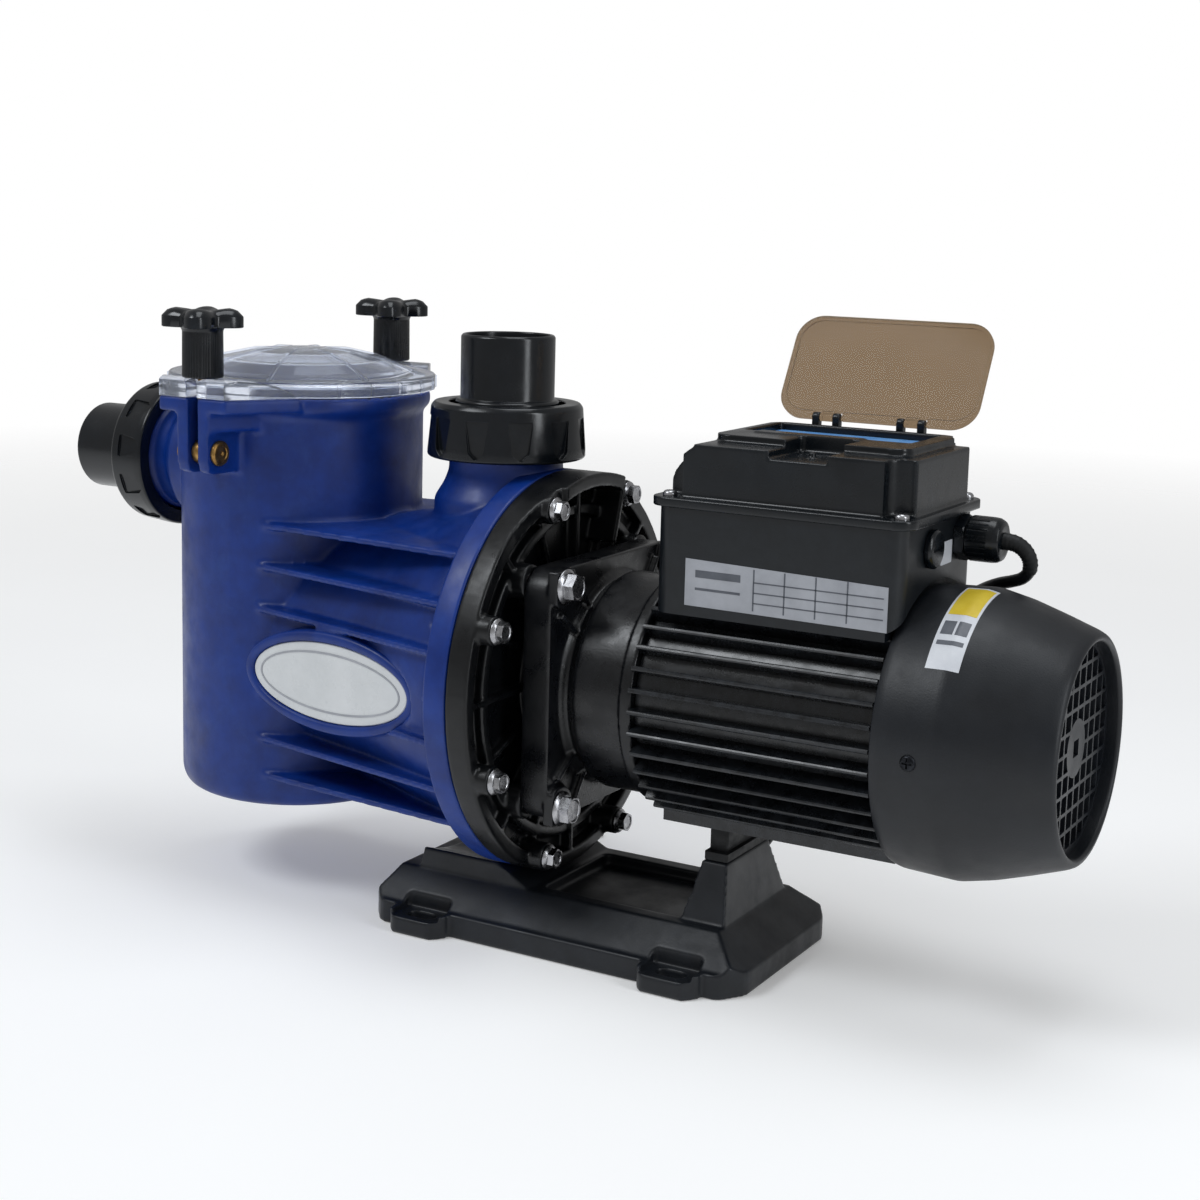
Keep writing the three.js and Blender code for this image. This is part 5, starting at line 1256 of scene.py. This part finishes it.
def smooth_line(points, per_span=6):
    """A centripetal Catmull-Rom curve through the points, as the CAD cord has."""
    points = [Vector(p) for p in points]
    ends = [2 * points[0] - points[1]], [2 * points[-1] - points[-2]]
    points = ends[0] + points + ends[1]
    line = []
    for p0, p1, p2, p3 in zip(points, points[1:], points[2:], points[3:]):
        t = [0.0]
        for a, b in ((p0, p1), (p1, p2), (p2, p3)):
            t.append(t[-1] + max((b - a).length, 1e-6) ** 0.5)
        for k in range(per_span):
            s = t[1] + (t[2] - t[1]) * k / per_span
            a1, a2, a3 = (lerp(p, q, (s - u) / (v - u)) for p, q, u, v in
                          ((p0, p1, t[0], t[1]), (p1, p2, t[1], t[2]), (p2, p3, t[2], t[3])))
            b1, b2 = lerp(a1, a2, (s - t[0]) / (t[2] - t[0])), lerp(a2, a3, (s - t[1]) / (t[3] - t[1]))
            line.append(lerp(b1, b2, (s - t[1]) / (t[2] - t[1])))
    return line + [points[-2]]


def lerp(a, b, share):
    return a + (b - a) * share


def make_cord():
    last = coil_points()[-1]
    tail = [(last[0], last[1] + 9, 10.4), (last[0], last[1] + 18, 12.6), (last[0], PLUG_Y, PLUG_Z)]
    points = smooth_line(CORD_ROUTE + coil_points() + tail)
    curve = bpy.data.curves.new("cord", "CURVE")
    curve.dimensions, curve.bevel_depth = "3D", CORD_R / 1000
    curve.bevel_resolution, curve.use_fill_caps = 6, True
    spline = curve.splines.new("POLY")
    spline.points.add(len(points) - 1)
    for target, p in zip(spline.points, points):
        target.co = (*(p / 1000), 1)
        target.radius = 1
    spline.use_smooth = True
    cord = bpy.data.objects.new("cord", curve)
    SCENE.collection.objects.link(cord)
    curve.materials.append(LOOK["cord"])
    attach(cord, PUMP)
    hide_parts("power_cord", "cord_coil")
    plug = mains_plug(last[0])
    relief = gland_relief()
    tie = coil_tie()


def gland_relief():
    """The tapered rubber sleeve that follows the cord as it leaves the gland."""
    line = [Vector(CORD_ROUTE[0]) - Vector((1.2, 0, -0.1))] + smooth_line(CORD_ROUTE[:8], 8)
    runs = [0.0]
    for a, b in zip(line, line[1:]):
        runs.append(runs[-1] + (b - a).length)
    kept = [(p, run) for p, run in zip(line, runs) if run <= SLEEVE.length]
    count, points, side = 40, [], Vector((0, 1, 0))
    for layer in (0, 1):
        for k, (p, run) in enumerate(kept if layer == 0 else kept[::-1]):
            at = [q for q, _ in kept].index(p)
            along = (kept[min(at + 1, len(kept) - 1)][0] - kept[max(at - 1, 0)][0]).normalized()
            u = side.cross(along).normalized()
            v = along.cross(u)
            share = run / kept[-1][1]
            ridge = 0.22 if layer == 0 and at % 3 == 1 else 0.0
            r = CORD_R + (SLEEVE.thick * (1 - share) + 0.3 * share + ridge if layer == 0 else 0.04)
            for i in range(count):
                t = 2 * math.pi * i / count
                points.append(tuple(p + u * (r * math.cos(t)) + v * (r * math.sin(t))))
    faces = [[a, d, c, b] for a, b, c, d in hoops(2 * len(kept), count, closed=True)]
    return piece("cord_sleeve", (points, faces), "rubber")


def mains_plug(x):
    """A two-pin plug with a grooved neck, lying along Y at the end of the coil."""
    body = lathe([(0, 0), (CORD_R + 0.4, 0), (4.2, 1), (4.6, 8), (6.4, 18), (7.8, 26), (13, 30), (14, 33),
                  (14, 57), (12, 62), (0, 62)], 1.4, 96)
    grips = [moved(turned([(r, 0), (r + 1.2, 0), (r + 1.2, 1.1), (r, 1.1)], 72), 0, 0, z)
             for r, z in ((4.3, 6), (4.9, 10), (5.6, 14), (6.3, 18), (7.0, 22))]
    pins = [moved(lathe([(0, 61), (2.4, 61), (2.4, 78.6), (1.2, 80), (0, 80)], 0.5, 32), side)
            for side in (-9.5, 9.5)]
    shape = placed(join(cut(body, *grips), *pins), shift(x, PLUG_Y, PLUG_Z) @ turn(-90, "X"))
    return piece("mains_plug", shape, "rubber", node="plug", sharp=40)


def coil_tie():
    """A flat tie round the coil's turns on its far side."""
    ring = softened([(22.6, 0.15), (42.9, 0.15), (42.9, 13.2), (22.6, 13.2)], 2.5)
    inner = softened([(23.5, 0.35), (42.4, 0.35), (42.4, 12.8), (23.5, 12.8)], 2.2)
    band = cut(slab_y(ring, -3, 3), slab_y(inner, -4, 4))
    lying = shift(COIL.x, COIL.y) @ turn(28, "Z")
    return piece("coil_tie", placed(band, lying), "rubber")


make_casing()
make_unions()
make_strainer()
make_wet_end()
make_motor()
make_box()
make_base()
make_cord()

for leftover in list(WORK.objects):
    bpy.data.objects.remove(leftover)
bpy.data.collections.remove(WORK)
